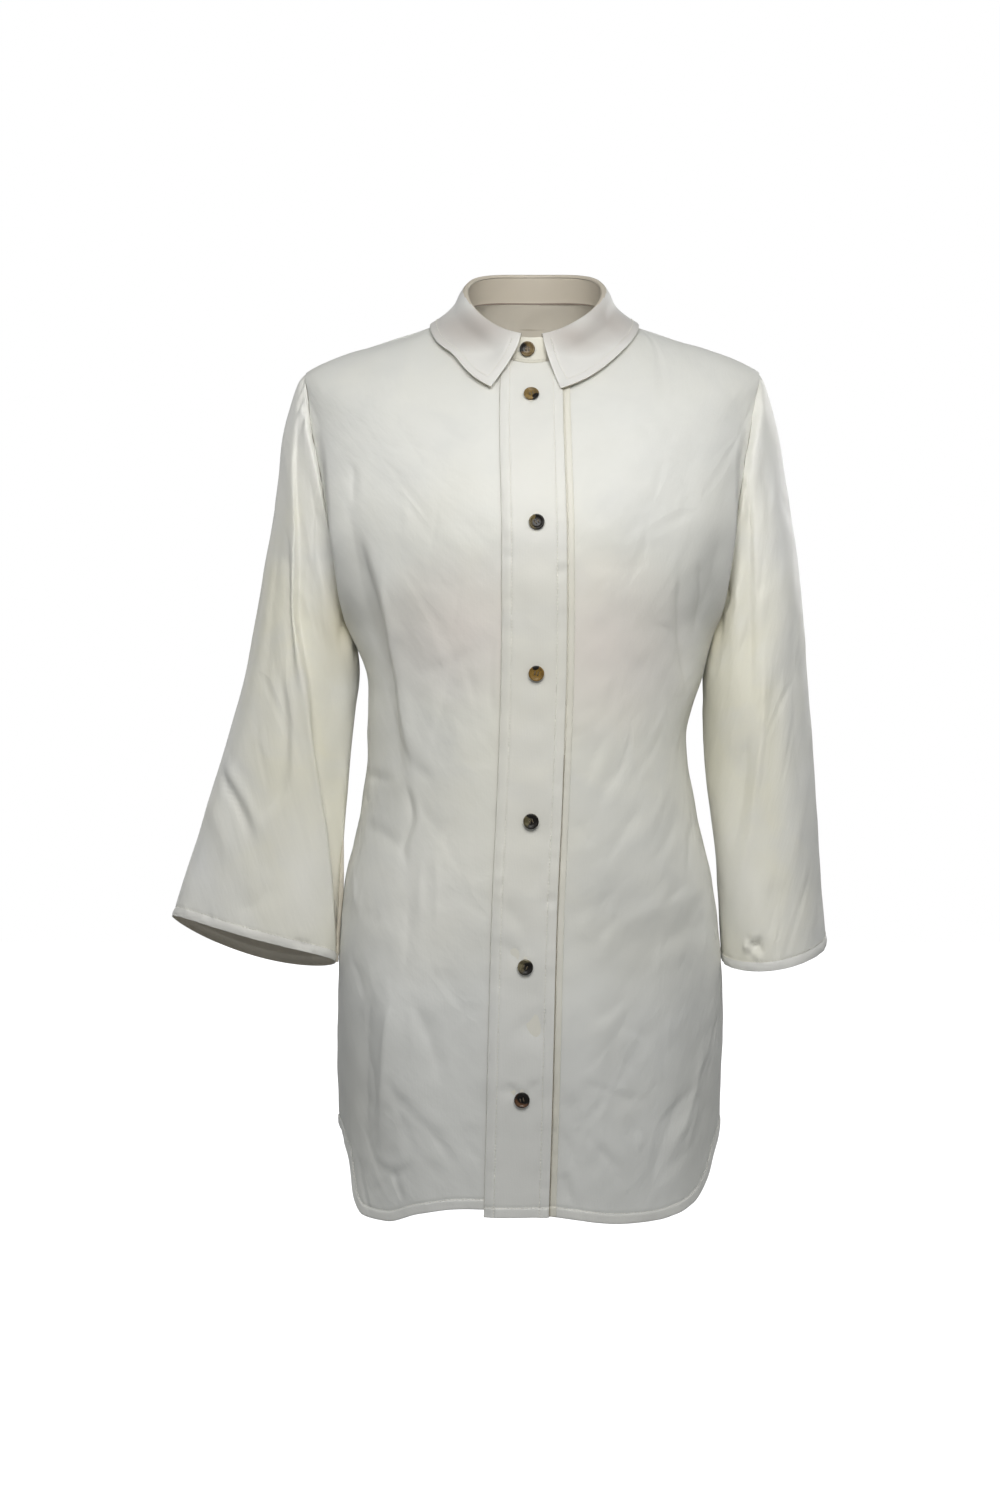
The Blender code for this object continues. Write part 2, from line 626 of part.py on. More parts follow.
def make_buttons(finish):
    mesh = button_mesh(finish)
    on_band = 2 * BAND_WALL + 3.5 * SEAM
    for button in BUTTONS:
        points, normals = band_form([button.off_centre])
        points = points[:, 0] + on_band * normals[:, 0]
        place = [np.interp(button.height, points[:, 2], points[:, axis]) for axis in range(3)]
        row = np.searchsorted(points[:, 2], button.height)
        rise = points[row] - points[row - 1]
        place_button(button.name, mesh, place, np.array([0, -rise[2], rise[1]]))
    bottom, top, out = stand_form(np.array([-0.004, 0.0, 0.004]) / NECK_HALF - NECK_BUTTON_WAY)
    rise = unit(top[1] - bottom[1])
    facing = unit(out[1] - (out[1] @ rise) * rise)
    place_button("button_neck", mesh, (bottom[1] + top[1]) / 2 + 2 * SEAM * facing, facing)


# ---------------------------------------------------------------- the shirt

def main():
    for old in list(bpy.data.objects):
        bpy.data.objects.remove(old)
    cloth = material("cream_satin", (0.72, 0.70, 0.62), 0.45)
    band_cloth = material("cream_band", (0.75, 0.73, 0.65), 0.45)
    shell_brown = material("tortoiseshell", (0.16, 0.09, 0.03), 0.25)

    sleeve_wall_left, front_wall_left, back_wall_left = armhole_walls(SLEEVE_LEFT, 1)
    sleeve_wall_right, front_wall_right, back_wall_right = armhole_walls(SLEEVE_RIGHT, -1)

    make_front("front_left", 1, BAND_HALF + SEAM, UNDER_BAND_EDGE, 13, front_wall_left, cloth)
    make_front(
        "front_right", -1, BAND_HALF - BAND_LAP, BAND_HALF, 13, front_wall_right, cloth
    )
    make_back(23, (back_wall_right, back_wall_left), cloth)
    make_sleeve("sleeve_left", SLEEVE_LEFT, 1, sleeve_wall_left, False, cloth)
    make_sleeve("sleeve_right", SLEEVE_RIGHT, -1, sleeve_wall_right, True, cloth)

    lap = BAND_HALF - BAND_LAP + SEAM
    make_band(
        "placket_left",
        (-lap + 2 * SEAM, -0.007, 0.007, BAND_HALF - BAND_LAP, BAND_HALF + SEAM, UNDER_BAND_EDGE),
        (SEAM,) * 6, band_cloth,
    )
    proud = SEAM + BAND_WALL + SEAM
    make_band(
        "placket_right",
        (-BAND_HALF, -lap + SEAM, -0.007, 0.007, BAND_HALF - BAND_LAP, BAND_HALF),
        (SEAM,) + (proud,) * 5, band_cloth,
    )
    make_stand(29, band_cloth)
    make_collar(27, band_cloth)
    make_buttons(shell_brown)


main()
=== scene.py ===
# %% [markdown]
# # A cream satin tunic shirt, filled out with nobody in it
# The shirt is lined up on a solid model that holds its true sizes: metres, Z up, the front
# facing -Y, and the wearer's left on +X. The solids are plain and thick-walled, so each one
# is replaced here by a thin sheet of cloth that lies on the same form and carries the folds,
# seams and stitching.

# %% Load the model
import math
from collections import namedtuple

import bmesh
import bpy
import numpy as np
from mathutils import Matrix, Vector


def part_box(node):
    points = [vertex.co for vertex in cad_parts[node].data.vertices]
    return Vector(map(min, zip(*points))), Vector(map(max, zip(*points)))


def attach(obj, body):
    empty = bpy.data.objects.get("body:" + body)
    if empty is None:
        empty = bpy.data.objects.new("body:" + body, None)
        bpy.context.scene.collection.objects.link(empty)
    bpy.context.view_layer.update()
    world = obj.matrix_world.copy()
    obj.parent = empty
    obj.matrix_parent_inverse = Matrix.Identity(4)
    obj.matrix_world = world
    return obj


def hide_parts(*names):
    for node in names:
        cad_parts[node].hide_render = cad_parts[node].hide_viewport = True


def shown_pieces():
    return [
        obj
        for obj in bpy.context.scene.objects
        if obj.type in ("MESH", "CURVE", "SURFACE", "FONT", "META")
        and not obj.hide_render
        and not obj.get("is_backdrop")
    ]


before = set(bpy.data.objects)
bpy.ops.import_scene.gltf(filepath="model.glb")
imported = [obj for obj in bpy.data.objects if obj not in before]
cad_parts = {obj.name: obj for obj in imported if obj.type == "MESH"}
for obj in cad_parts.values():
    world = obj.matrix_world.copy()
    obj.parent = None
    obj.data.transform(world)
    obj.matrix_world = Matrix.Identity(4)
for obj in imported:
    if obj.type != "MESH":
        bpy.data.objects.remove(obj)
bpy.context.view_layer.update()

# %% [markdown]
# ## The camera and the studio
# A long lens held level gives an upright object upright sides, which a tilted camera would
# not. The lens looks straight along +Y from two metres away at the middle of the shirt.

# %% Camera
scene = bpy.context.scene
camera = bpy.data.objects.new("level_camera", bpy.data.cameras.new("level_camera"))
scene.collection.objects.link(camera)
camera.location = (-0.0255, -2.0, -0.367)
camera.rotation_euler = (math.radians(90), 0, 0)
camera.data.lens = 56.47
camera.data.sensor_width = 36
scene.camera = camera
scene.view_settings.view_transform = "Standard"
scene.view_settings.look = "None"
print("camera at", tuple(camera.location))

# %% [markdown]
# ## The light
# Satin shows every soft fold when one broad light stands high in front and weaker ones fill
# the shadows. A light near the shoulders also fades towards the hem. Two more stand behind
# and light the rims of the sleeves. The world is white, for a plain white room.

# %% Lights
def softbox(name, place, look_at_z, size, power, colour):
    data = bpy.data.lights.new(name, "AREA")
    data.shape, data.size, data.size_y = "RECTANGLE", *size
    data.energy, data.color = power, colour
    light = bpy.data.objects.new(name, data)
    light.location = place
    aim = Vector((0, 0, look_at_z)) - Vector(place)
    light.rotation_euler = aim.to_track_quat("-Z", "Y").to_euler()
    scene.collection.objects.link(light)


NEUTRAL, WARM = (1.0, 0.99, 0.97), (1.0, 0.985, 0.95)
softbox("high_key", (0.05, -1.05, 0.32), -0.25, (0.8, 0.6), 9.9, NEUTRAL)
softbox("left_fill", (-1.7, -0.9, 0.6), -0.4, (1.0, 1.4), 3.2, WARM)
softbox("right_fill", (1.7, -0.9, 0.6), -0.4, (1.0, 1.4), 3.0, WARM)
softbox("back_left", (1.15, 1.30, 0.30), -0.4, (0.8, 1.0), 9.0, (1.0, 0.99, 0.96))
softbox("back_right", (-1.35, 1.20, 0.05), -0.4, (1.0, 1.2), 4.5, WARM)


# %% Helpers for nodes and objects
def node(tree, kind, inputs=None, **settings):
    """Adds a shader node. Each input is a value, or the output of another node."""
    made = tree.nodes.new("ShaderNode" + kind)
    for name, value in settings.items():
        setattr(made, name, value)
    for name, value in (inputs or {}).items():
        if isinstance(value, bpy.types.NodeSocket):
            tree.links.new(value, made.inputs[name])
        else:
            made.inputs[name].default_value = value
    return made


def plain(name, values):
    """A material, and its shader, set to plain values."""
    made = bpy.data.materials.new(name)
    made.use_nodes = True
    shader = made.node_tree.nodes["Principled BSDF"]
    for socket, value in values.items():
        shader.inputs[socket].default_value = value
    return made, made.node_tree, shader


def thing(name, bm, finishes):
    """Puts a bmesh into the scene as a smooth object, in its finishes."""
    mesh = bpy.data.meshes.new(name)
    bm.to_mesh(mesh)
    bm.free()
    mesh.shade_smooth()
    for finish in finishes:
        mesh.materials.append(finish)
    made = bpy.data.objects.new(name, mesh)
    scene.collection.objects.link(made)
    return made


def worn(made, solid=None):
    """Fixes a finished piece to the shirt, in place of its solid if it has one."""
    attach(made, "root")
    if solid:
        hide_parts(solid)
    return made


print("helpers are ready")

# %% World and floor
world = bpy.data.worlds.new("white_room")
scene.world = world
world.use_nodes = True
room = world.node_tree
room.nodes.clear()
seen = node(room, "Background", {"Strength": 1.25})
lit = node(room, "Background", {"Color": (0.93, 0.97, 1.0, 1), "Strength": 0.18})
straight = node(room, "LightPath").outputs["Is Camera Ray"]
either = node(room, "MixShader", {"Fac": straight, 1: lit.outputs[0], 2: seen.outputs[0]})
node(room, "OutputWorld", {"Surface": either.outputs[0]})

paper, tree, shader = plain("pale_paper", {
    "Base Color": (0.60, 0.60, 0.60, 1), "Roughness": 0.9, "Emission Color": (1, 1, 1, 1)})
seen = node(tree, "LightPath").outputs["Is Camera Ray"]
glow = node(tree, "Math", {0: seen, 1: 1.2}, operation="MULTIPLY")
tree.links.new(glow.outputs[0], shader.inputs["Emission Strength"])
bm = bmesh.new()
bmesh.ops.create_grid(
    bm, x_segments=2, y_segments=2, size=7.0, matrix=Matrix.Translation((0, 3, -1.35)))
floor = thing("studio_floor", bm, [paper])
floor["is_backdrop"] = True
print("floor at z =", round(floor.data.vertices[0].co.z, 2))

# %% [markdown]
# ## The form of the trunk
# A filled shirt is a stack of level sections, each an arch from the centre line round to the
# side seam. A table of a few sections, read as a smooth curve, gives every one between them.
# These are the sizes of the solid fronts and back: depths, side lines and how full each is.

# %% Sizes
UNDERARM, TIP, NECKLINE = -0.262, -0.110, -0.048
HEM_LEVEL, SIDE_REACH = -0.76, 0.232    # the lowest section, and the hip from band to side
BAND_HALF, BAND_LAP, UNDER_BAND_EDGE = 0.026, 0.0057, 0.032
CLOTH_WALL, BAND_CLOTH_WALL, BAND_WALL = 0.0007, 0.0012, 0.0014
SEAM, CURVED_SEAM, HEM_DEPTH = 0.0003, 0.0009, 0.0080
STAND_FRONT, STAND_BACK, STAND_LEAN, STAND_OVERLAP = 0.0195, 0.0215, 0.0045, 0.012
COLLAR_START = 0.0085
UP = np.array([0.0, 0.0, 1.0])
FRONT, BACK = -1, 1


def read_table(text):
    """Rows of millimetres and thousandths of a share, made metres and shares."""
    return np.array([row.split() for row in text.strip().split("\n")], float) / 1000


SECTION_COLUMNS = ("level", "side", "side_z", "climb", "full", "front", "flat", "back", "back_z")
SECTIONS = read_table("""
    -760 158.5 -760 0 580 -116 630 117 -760
    -664 160.2 -664 0 580 -119 630 121 -664
    -580 163.2 -580 0 580 -122 630 124 -580
    -482 156.3 -482 0 580 -121 630 116 -482
    -418 142 -418 0 580 -118 630 104 -418
    -354 134.5 -354 0 580 -118 630 96 -354
    -300 136 -300 0 580 -121.5 630 96.5 -300
    -280 140 -280 0 580 -124 630 98.5 -280
    -262 147 -262 0 580 -126 630 101 -262
    -240 162.5 -236 0 570 -128.5 630 104.5 -237
    -206 179.5 -193 0 540 -130 630 108 -200
    -163 192.5 -129 0 470 -123.5 630 109 -149
    -135 198 -85 20 410 -113 630 108 -113
    -120 197.5 -58.5 30 370 -105.8 630 105.8 -91
    -110 192.5 -46.5 40 350 -100.8 630 103.7 -76
    -103 180.5 -39.5 60 350 -97 630 101.2 -65
    -95 164 -32.5 90 360 -92.2 630 97.5 -52
    -78 125 -20.5 170 420 -81 600 88 -26
    -60 86 -8 340 500 -69 520 76.5 5
    -48 62 0 550 580 -62 420 66 24
""")
# height, then the sway of the side and of the centre front
SWAYS = read_table("""
    -760 -1 -13
    -664 -1.2 -10.5
    -580 0 -8.5
    -482 -0.9 -5.5
    -418 -1.6 -2.5
    -354 -3 0
    -300 4 1.5
    -262 1.5 1.8
    -206 1 1.8
    -100 0.5 0
    0 4 0
    60 5.5 2
""")
# the share of the way to the side seam, then the left front, the right front and the back
HEMS = read_table("""
    0 -737 -735 -751
    200 -744 -735.5 -751
    360 -748.8 -741 -751.2
    500 -749.7 -749.8 -750.8
    600 -747.8 -748.5 -748
    680 -742.8 -737 -740
    740 -735.5 -706 -726
    800 -723 -693 -709
    860 -704 -688.5 -696
    920 -690.5 -685.5 -688
    1000 -683.5 -683.5 -683.5
""")
print("trunk sections:", len(SECTIONS))


# %% Smooth curves
def smooth(x, y, at):
    """The smooth curve through y at x, read at every value in `at`."""
    x, y, at = np.asarray(x, float), np.asarray(y, float), np.asarray(at, float)
    spread = (slice(None),) + (None,) * (y.ndim - 1)
    step = np.diff(x)
    rise = np.diff(y, axis=0) / step[spread]
    before, after = step[:-1][spread], step[1:][spread]
    slope = np.empty_like(y)
    slope[1:-1] = (rise[:-1] * after + rise[1:] * before) / (before + after)
    least = 3 * np.minimum(np.abs(rise[:-1]), np.abs(rise[1:]))
    slope[1:-1] = np.where(rise[:-1] * rise[1:] <= 0, 0, np.clip(slope[1:-1], -least, least))
    slope[0], slope[-1] = rise[0], rise[-1]
    low = np.clip(np.searchsorted(x, at, side="right") - 1, 0, len(step) - 1)
    t = ((at - x[low]) / step[low]).reshape(at.shape + (1,) * (y.ndim - 1))
    gap = step[low].reshape(t.shape)
    return (
        y[low] * (1 + 2 * t) * (1 - t) ** 2
        + slope[low] * gap * t * (1 - t) ** 2
        + y[low + 1] * t * t * (3 - 2 * t)
        + slope[low + 1] * gap * t * t * (t - 1)
    )


def size_at(name, level):
    return smooth(SECTIONS[:, 0], SECTIONS[:, SECTION_COLUMNS.index(name)], level)


def ease(t):
    t = np.clip(t, 0.0, 1.0)
    return t * t * (3 - 2 * t)


def bell(x, width):
    return np.exp(-((x / width) ** 2))


def unit(vectors):
    return vectors / np.maximum(np.linalg.norm(vectors, axis=-1, keepdims=True), 1e-12)


def run_along(line):
    """Metres along each line of points, from its first one."""
    steps = np.linalg.norm(np.diff(line, axis=-2), axis=-1)
    return np.concatenate([np.zeros_like(steps[..., :1]), np.cumsum(steps, -1)], -1)


print("waist half-width:", round(float(size_at("side", -0.354)), 4))


# %% Sections
def handles(level, face):
    """The four points of the arch from the centre line to the side seam."""
    front = face == FRONT
    depth = size_at("front" if front else "back", level)
    height = level if front else size_at("back_z", level)
    flat = size_at("flat", level) if front else 0.63
    side, none = size_at("side", level), np.zeros_like(level)
    centre = np.stack([none, depth, height], axis=-1)
    end = np.stack([side, none, size_at("side_z", level)], axis=-1)
    out = np.stack([flat * side, none, none], axis=-1)
    turn = np.stack([none, none + 1, size_at("climb", level)], axis=-1)
    return centre, centre + out, end + (size_at("full", level) * depth)[:, None] * turn, end


def bezier(points, t):
    a, b, c, d = (p[:, None, :] for p in points)
    t = t[..., None]
    s = 1 - t
    return a * s**3 + 3 * b * s * s * t + 3 * c * s * t * t + d * t**3


def arches(level, face, count=41):
    t = np.linspace(0, 1, count)
    return t, bezier(handles(level, face), np.broadcast_to(t, (len(level), count)))


def sway(points):
    """The hanging shirt's slight sideways sway, at its sides and at its centre front."""
    side, front = smooth(SWAYS[:, 0], SWAYS[:, 1:], points[..., 2]).T
    moved = points.copy()
    moved[..., 0] += side + (front - side) * ease((-points[..., 1] - 0.02) / 0.07)
    return moved


def section(level, reach, face, share=False):
    """Points on the trunk. reach is metres round from the centre line, or a share of the way
    to the seam; below zero it is on the wearer's right."""
    level, reach = np.broadcast_arrays(level, reach)
    shape, level, reach = level.shape, level.ravel(), reach.ravel()
    t, line = arches(level, face)
    run = run_along(line)
    want = np.abs(reach) * (run[:, -1] if share else 1.0)
    at = np.array([np.interp(w, r, t) for w, r in zip(want, run)])
    found = bezier(handles(level, face), at[:, None])[:, 0]
    found[:, 0] *= np.where(reach < 0, -1, 1)
    return sway(found).reshape(shape + (3,))


def half_length(level, face):
    level = np.asarray(level, float)
    return run_along(arches(level.ravel(), face)[1])[:, -1].reshape(level.shape)


def outward(level, share, face):
    """The trunk's normals, pointing out of the shirt."""
    level, share = np.broadcast_arrays(level, share)
    low, high = np.maximum(share - 0.002, -1), np.minimum(share + 0.002, 1)
    across = section(level, high, face, True) - section(level, low, face, True)
    below, above = np.maximum(level - 0.002, HEM_LEVEL), np.minimum(level + 0.002, NECKLINE)
    upward = section(above, share, face, True) - section(below, share, face, True)
    return unit(-face * np.cross(across, upward))


print("front half at the hips:", round(float(half_length(-0.58, FRONT)), 4), "m")

# %% [markdown]
# ## The armholes
# A sleeve is sewn into a hole that is cut out of the front and the back, deeper at the back.
# The hole is an oval round the side line. The same loop of points serves the fronts, the
# back and the sleeves, so that their edges meet all the way round.

# %% Armholes
ARM_ROWS = 84


def edge_share(level, face):
    """The share of each section that is cloth: all of it, but for what the armhole cuts off."""
    along = np.clip((level - UNDERARM) / (TIP - UNDERARM), 0, 1)
    widest = 0.057 if face == FRONT else 0.062
    depth = widest * 2 * np.sqrt(along * (1 - along)) * (1 - 0.12 * along)
    _, line = arches(level, face, 161)
    run = run_along(line)
    share = run / run[:, -1:]
    found = [np.interp(-d, -np.abs(p[:, 1]), s) for d, p, s in zip(depth, line, share)]
    return np.where(depth > 0, found, 1.0)


def armhole_levels():
    along = (1 - np.cos(np.linspace(0, math.pi, ARM_ROWS + 1))) / 2
    return UNDERARM + (TIP - UNDERARM) * along


def armhole_loop(side):
    """The hole's points and the trunk's normals there: underarm, front, top, then the back."""
    level = armhole_levels()
    halves = []
    for face in (FRONT, BACK):
        share = side * edge_share(level, face)
        halves.append((section(level, share, face, True), outward(level, share, face)))
    return [np.concatenate([front, back[-2::-1]]) for front, back in zip(*halves)]


print("armhole:", round(float(run_along(armhole_loop(1)[0])[-1]), 3), "m round")

# %% [markdown]
# ## The form of the sleeves
# A bell sleeve is a tube of tilted rings. The wearer's right one spreads wide and lies
# nearly flat, and its left one hangs round and close. Each ring runs from the side away from
# the body to the side next to it, and the rings are joined smoothly to the armhole.

# %% Sleeve rings
# the share of the way down, the outer x and z, the inner x and z, depth, y, lift and sag
SLEEVE_LEFT = read_table("""
    30 198.5 -55 152.5 -267 59 2 0 0
    80 208 -88 151 -278 60 2 0 0
    180 217 -138 147.5 -298 61 1 0 0
    360 229 -222 146 -334 61 0 -2 0
    570 237 -325 150.5 -395 60 0 -4 0
    780 243 -427 158 -465 58.5 -1 -7 0
    1000 250.5 -529 163 -545 57 -2 -10 1
""")
SLEEVE_RIGHT = read_table("""
    30 196.5 -55 149 -268 59 2 0 0
    80 207 -88 146.5 -279 60 2 0 0
    180 214 -138 144 -298 60 1 1 0
    360 227 -222 148 -332 56 -1 3 1
    570 247 -325 154 -395 46 -5 5 2
    780 276.5 -425 158.5 -468 35 -9 7 4
    1000 302 -508 164 -546 27 -13 10 7
""")


def sleeve_form(table, side, along):
    """The sleeve's surface, and the way that it leaves the armhole with the trunk's normals."""
    loop, normals = armhole_loop(side)
    turns = np.linspace(math.pi, -math.pi, len(loop))[:, None]
    rings = []
    for _, outer_x, outer_z, inner_x, inner_z, depth, y, lift, sag in table:
        outer = np.array([outer_x * side, y, outer_z])
        inner = np.array([inner_x * side, y, inner_z])
        lifted = np.cos(turns) * (outer - inner) / 2
        lifted = lifted + np.sin(turns) * np.array([0, -depth, lift])
        rings.append((outer + inner) / 2 + lifted - sag * np.sin(turns) ** 2 * UP)
    run = unit(rings[0] - loop)
    around = unit(np.roll(loop[:-1], -1, axis=0) - np.roll(loop[:-1], 1, axis=0))
    around = np.concatenate([around, around[:1]])
    facing = unit(np.cross(run, around)) * side
    knots = np.concatenate([[0.0], table[:, 0]])
    surface = smooth(knots, np.stack([loop] + rings), along)
    surface[:, -1] = surface[:, 0]
    return surface, facing, normals


print("rings:", len(SLEEVE_LEFT), "and", len(SLEEVE_RIGHT))

# %% [markdown]
# ## Folds drawn one by one
# Folds could come from a cloth simulation, but a filled shirt that hangs on nobody would
# fall in, and the folds would land anywhere. So each fold is drawn as a path on the cloth,
# round from the centre line and up, and pushes the cloth in along it. A fold has a steep
# side and a soft side, a raised lip beside it, and ends that fade out.

# %% Fold helpers
Fold = namedtuple("Fold", "depth near far lip path")


def drawn(text, per=(1, -1)):
    """Folds from rows of numbers: the depth and the widths of both sides in tenths of a
    millimetre, the lip in per cent, and then the path's points in millimetres round and down.
    per turns the points, or gives the size of what they are counted in."""
    made = []
    for row in text.split("\n"):
        if row and "#" not in row:
            depth, near, far, lip, *path = map(float, row.split())
            path = np.reshape(path, (-1, 2)) / 1000 * per
            made.append(Fold(depth / 1e4, near / 1e4, far / 1e4, lip / 100, path))
    return made


def beside(at, path):
    """How far each point lies to the left of a smooth path, and how far along it is."""
    run = run_along(path)
    line = smooth(run, path, np.linspace(0, run[-1], 25))
    start, step = line[:-1], np.diff(line, axis=0)
    off = at[:, None] - start
    t = np.clip((off * step).sum(2) / (step**2).sum(1), 0, 1)
    off = off - t[..., None] * step
    away = (off**2).sum(2)
    best = away.argmin(1)
    pick = np.arange(len(at)), best
    turn = step[best, 0] * off[pick][:, 1] - step[best, 1] * off[pick][:, 0]
    return np.sqrt(away[pick]) * np.sign(turn), (best + t[pick]) / 24


def folded(across, up, folds):
    """How far the folds push each point out, or in where it is below zero."""
    at = np.stack([across, up], axis=-1).reshape(-1, 2)
    push = np.zeros(len(at))
    for fold in folds:
        path, wide = np.asarray(fold.path, float), 3.5 * max(fold.near, fold.far)
        close = ((at > path.min(0) - wide) & (at < path.max(0) + wide)).all(1)
        if not close.any():
            continue
        side, way = beside(at[close], path)
        width = np.where(side > 0, fold.near, fold.far)
        shape = fold.lip * ease(side / width) * bell(side / width - 1.8, 1)
        shape -= np.exp(-(np.abs(side / width) ** 1.4))
        push[close] += fold.depth * shape * ease(way / 0.3) * ease((1 - way) / 0.35)
    return push.reshape(across.shape)


def small_creases(seed, count, low, high, lean):
    """Short faint creases, scattered between two corners, that lean about one way."""
    pick, made = np.random.default_rng(seed), []
    for _ in range(count):
        start, turn = pick.uniform(low, high), math.radians(pick.normal(lean, 26))
        step = pick.uniform(0.009, 0.028) * np.array([math.cos(turn), math.sin(turn)])
        bend = pick.uniform(-0.25, 0.25) * np.array([-step[1], step[0]])
        path = (start, start + step + bend, start + 2 * step)
        near = pick.uniform(0.0028, 0.0055)
        depth = pick.uniform(0.0002, 0.0006) * pick.choice((1, 1, -1))
        far = near * pick.uniform(0.6, 1.5)
        made.append(Fold(depth, near, far, pick.uniform(0.1, 0.5), path))
    return made


def ripple(across, up, seed, size, amount):
    """A quiet unevenness: a few seeded waves that cross at all angles."""
    pick, total = np.random.default_rng(seed), 0
    for _ in range(9):
        turn, length = pick.uniform(0, math.tau), size * pick.uniform(0.8, 2.0)
        run = (across * np.cos(turn) + up * np.sin(turn)) / length
        total = total + np.sin(math.tau * run + pick.uniform(0, 7))
    return amount * total / 3


one_fold = drawn("50 100 100 30  0 -100  0 100")
print("a 5 mm fold pushes", folded(np.zeros(1), np.zeros(1), one_fold))

# %% [markdown]
# ## Cloth finishes
# The cloth is a heavy satin-backed crepe: smooth, a soft sheen, no print. What the eye reads
# up close is fine threads and a little rumple, so both are bump on the cloth's own cut, in
# metres, and the colour drifts a little between a cool and a warm cream. One node group makes
# them for every cloth, and each material gives it its own values.

# %% Woven satin group
def new_group(name, inputs, outputs):
    group = bpy.data.node_groups.new(name, "ShaderNodeTree")
    for label, kind, value in inputs:
        socket = group.interface.new_socket(name=label, in_out="INPUT", socket_type=kind)
        if value is not None:
            socket.default_value = value
    for label, kind in outputs:
        group.interface.new_socket(name=label, in_out="OUTPUT", socket_type=kind)
    return group, group.nodes.new("NodeGroupInput"), group.nodes.new("NodeGroupOutput")


def scaled(tree, value, by, plus=0.0):
    """A value times one thing plus another, each a number or a socket."""
    return node(tree, "Math", {0: value, 1: by, 2: plus}, operation="MULTIPLY_ADD").outputs[0]


def noise(tree, vector, scale, detail=1.0, **more):
    inputs = {"Vector": vector, "Scale": scale, "Detail": detail, **more}
    return node(tree, "TexNoise", inputs)


def stepped(tree, value, low, high, kind="LINEAR"):
    """0 below the low value and 1 above the high one."""
    inputs = {"Value": value, "From Min": low, "From Max": high}
    return node(tree, "MapRange", inputs, interpolation_type=kind).outputs[0]


satin, satin_in, satin_out = new_group(
    "woven_satin",
    [("Cut", "NodeSocketVector", None), ("Rumple", "NodeSocketFloat", 1.0)],
    [("Height", "NodeSocketFloat"), ("Drift", "NodeSocketFloat"), ("Gloss", "NodeSocketFloat")],
)
cut_in = satin_in.outputs["Cut"]
drawn_out = node(satin, "Mapping", {"Vector": cut_in, "Scale": (1.0, 0.12, 1.0)})
threads = noise(satin, drawn_out.outputs[0], 2600.0).outputs["Fac"]
warp = node(satin, "TexWave", {"Vector": cut_in, "Scale": 260.0, "Distortion": 1.5, "Detail": 1.0})
crepe = noise(satin, cut_in, 700.0, 2.0).outputs["Fac"]
fine_rumple = noise(satin, cut_in, 75.0, 2.0, Roughness=0.45).outputs["Fac"]
broad_rumple = noise(satin, cut_in, 24.0).outputs["Fac"]
wander = noise(satin, cut_in, 9.0).outputs["Color"]
bent = node(
    satin, "VectorMath", {0: wander, 1: (0.07, 0.05, 0.0), 2: cut_in}, operation="MULTIPLY_ADD")
facets = node(
    satin, "TexVoronoi", {"Vector": bent.outputs[0], "Scale": 17.0}, feature="DISTANCE_TO_EDGE")
crease_line = stepped(satin, facets.outputs["Distance"], 0.0, 0.17, "SMOOTHSTEP")
crease_here = stepped(satin, noise(satin, cut_in, 12.0).outputs["Fac"], 0.46, 0.62, "SMOOTHSTEP")
creased = scaled(satin, scaled(satin, crease_line, 1.0, -1.0), scaled(satin, crease_here, 0.55))
rumpled = scaled(satin, creased, 1.0, scaled(satin, fine_rumple, 0.5, broad_rumple))
weave = scaled(satin, warp.outputs["Fac"], 0.02, scaled(satin, crepe, 0.06))
grain = scaled(satin, threads, 0.035, weave)
height = scaled(satin, rumpled, satin_in.outputs["Rumple"], grain)
gloss = scaled(satin, crepe, 0.14, 0.40)
for name, value in (("Height", height), ("Drift", broad_rumple), ("Gloss", gloss)):
    satin.links.new(value, satin_out.inputs[name])
print("group:", satin.name, len(satin.nodes), "nodes")


# %% Cloth materials
def patch(tree, vector, row):
    """A soft patch from its centre and its size in millimetres: 1 in its middle, 0 outside."""
    centre, size = row[:3], row[3:6]
    moved = node(tree, "Mapping", {
        "Vector": vector, "Scale": [1000 / x for x in size],
        "Location": [-c / x for c, x in zip(centre, size)]})
    ball = node(tree, "TexGradient", {"Vector": moved.outputs[0]}, gradient_type="SPHERICAL")
    return ball.outputs["Fac"]


def blended(tree, factor, *colours):
    """A mix of two colours, each plain or another node's."""
    first, second = ((*c, 1) if isinstance(c, tuple) else c for c in colours)
    return node(tree, "Mix", {"Factor": factor, 6: first, 7: second}, data_type="RGBA").outputs[2]


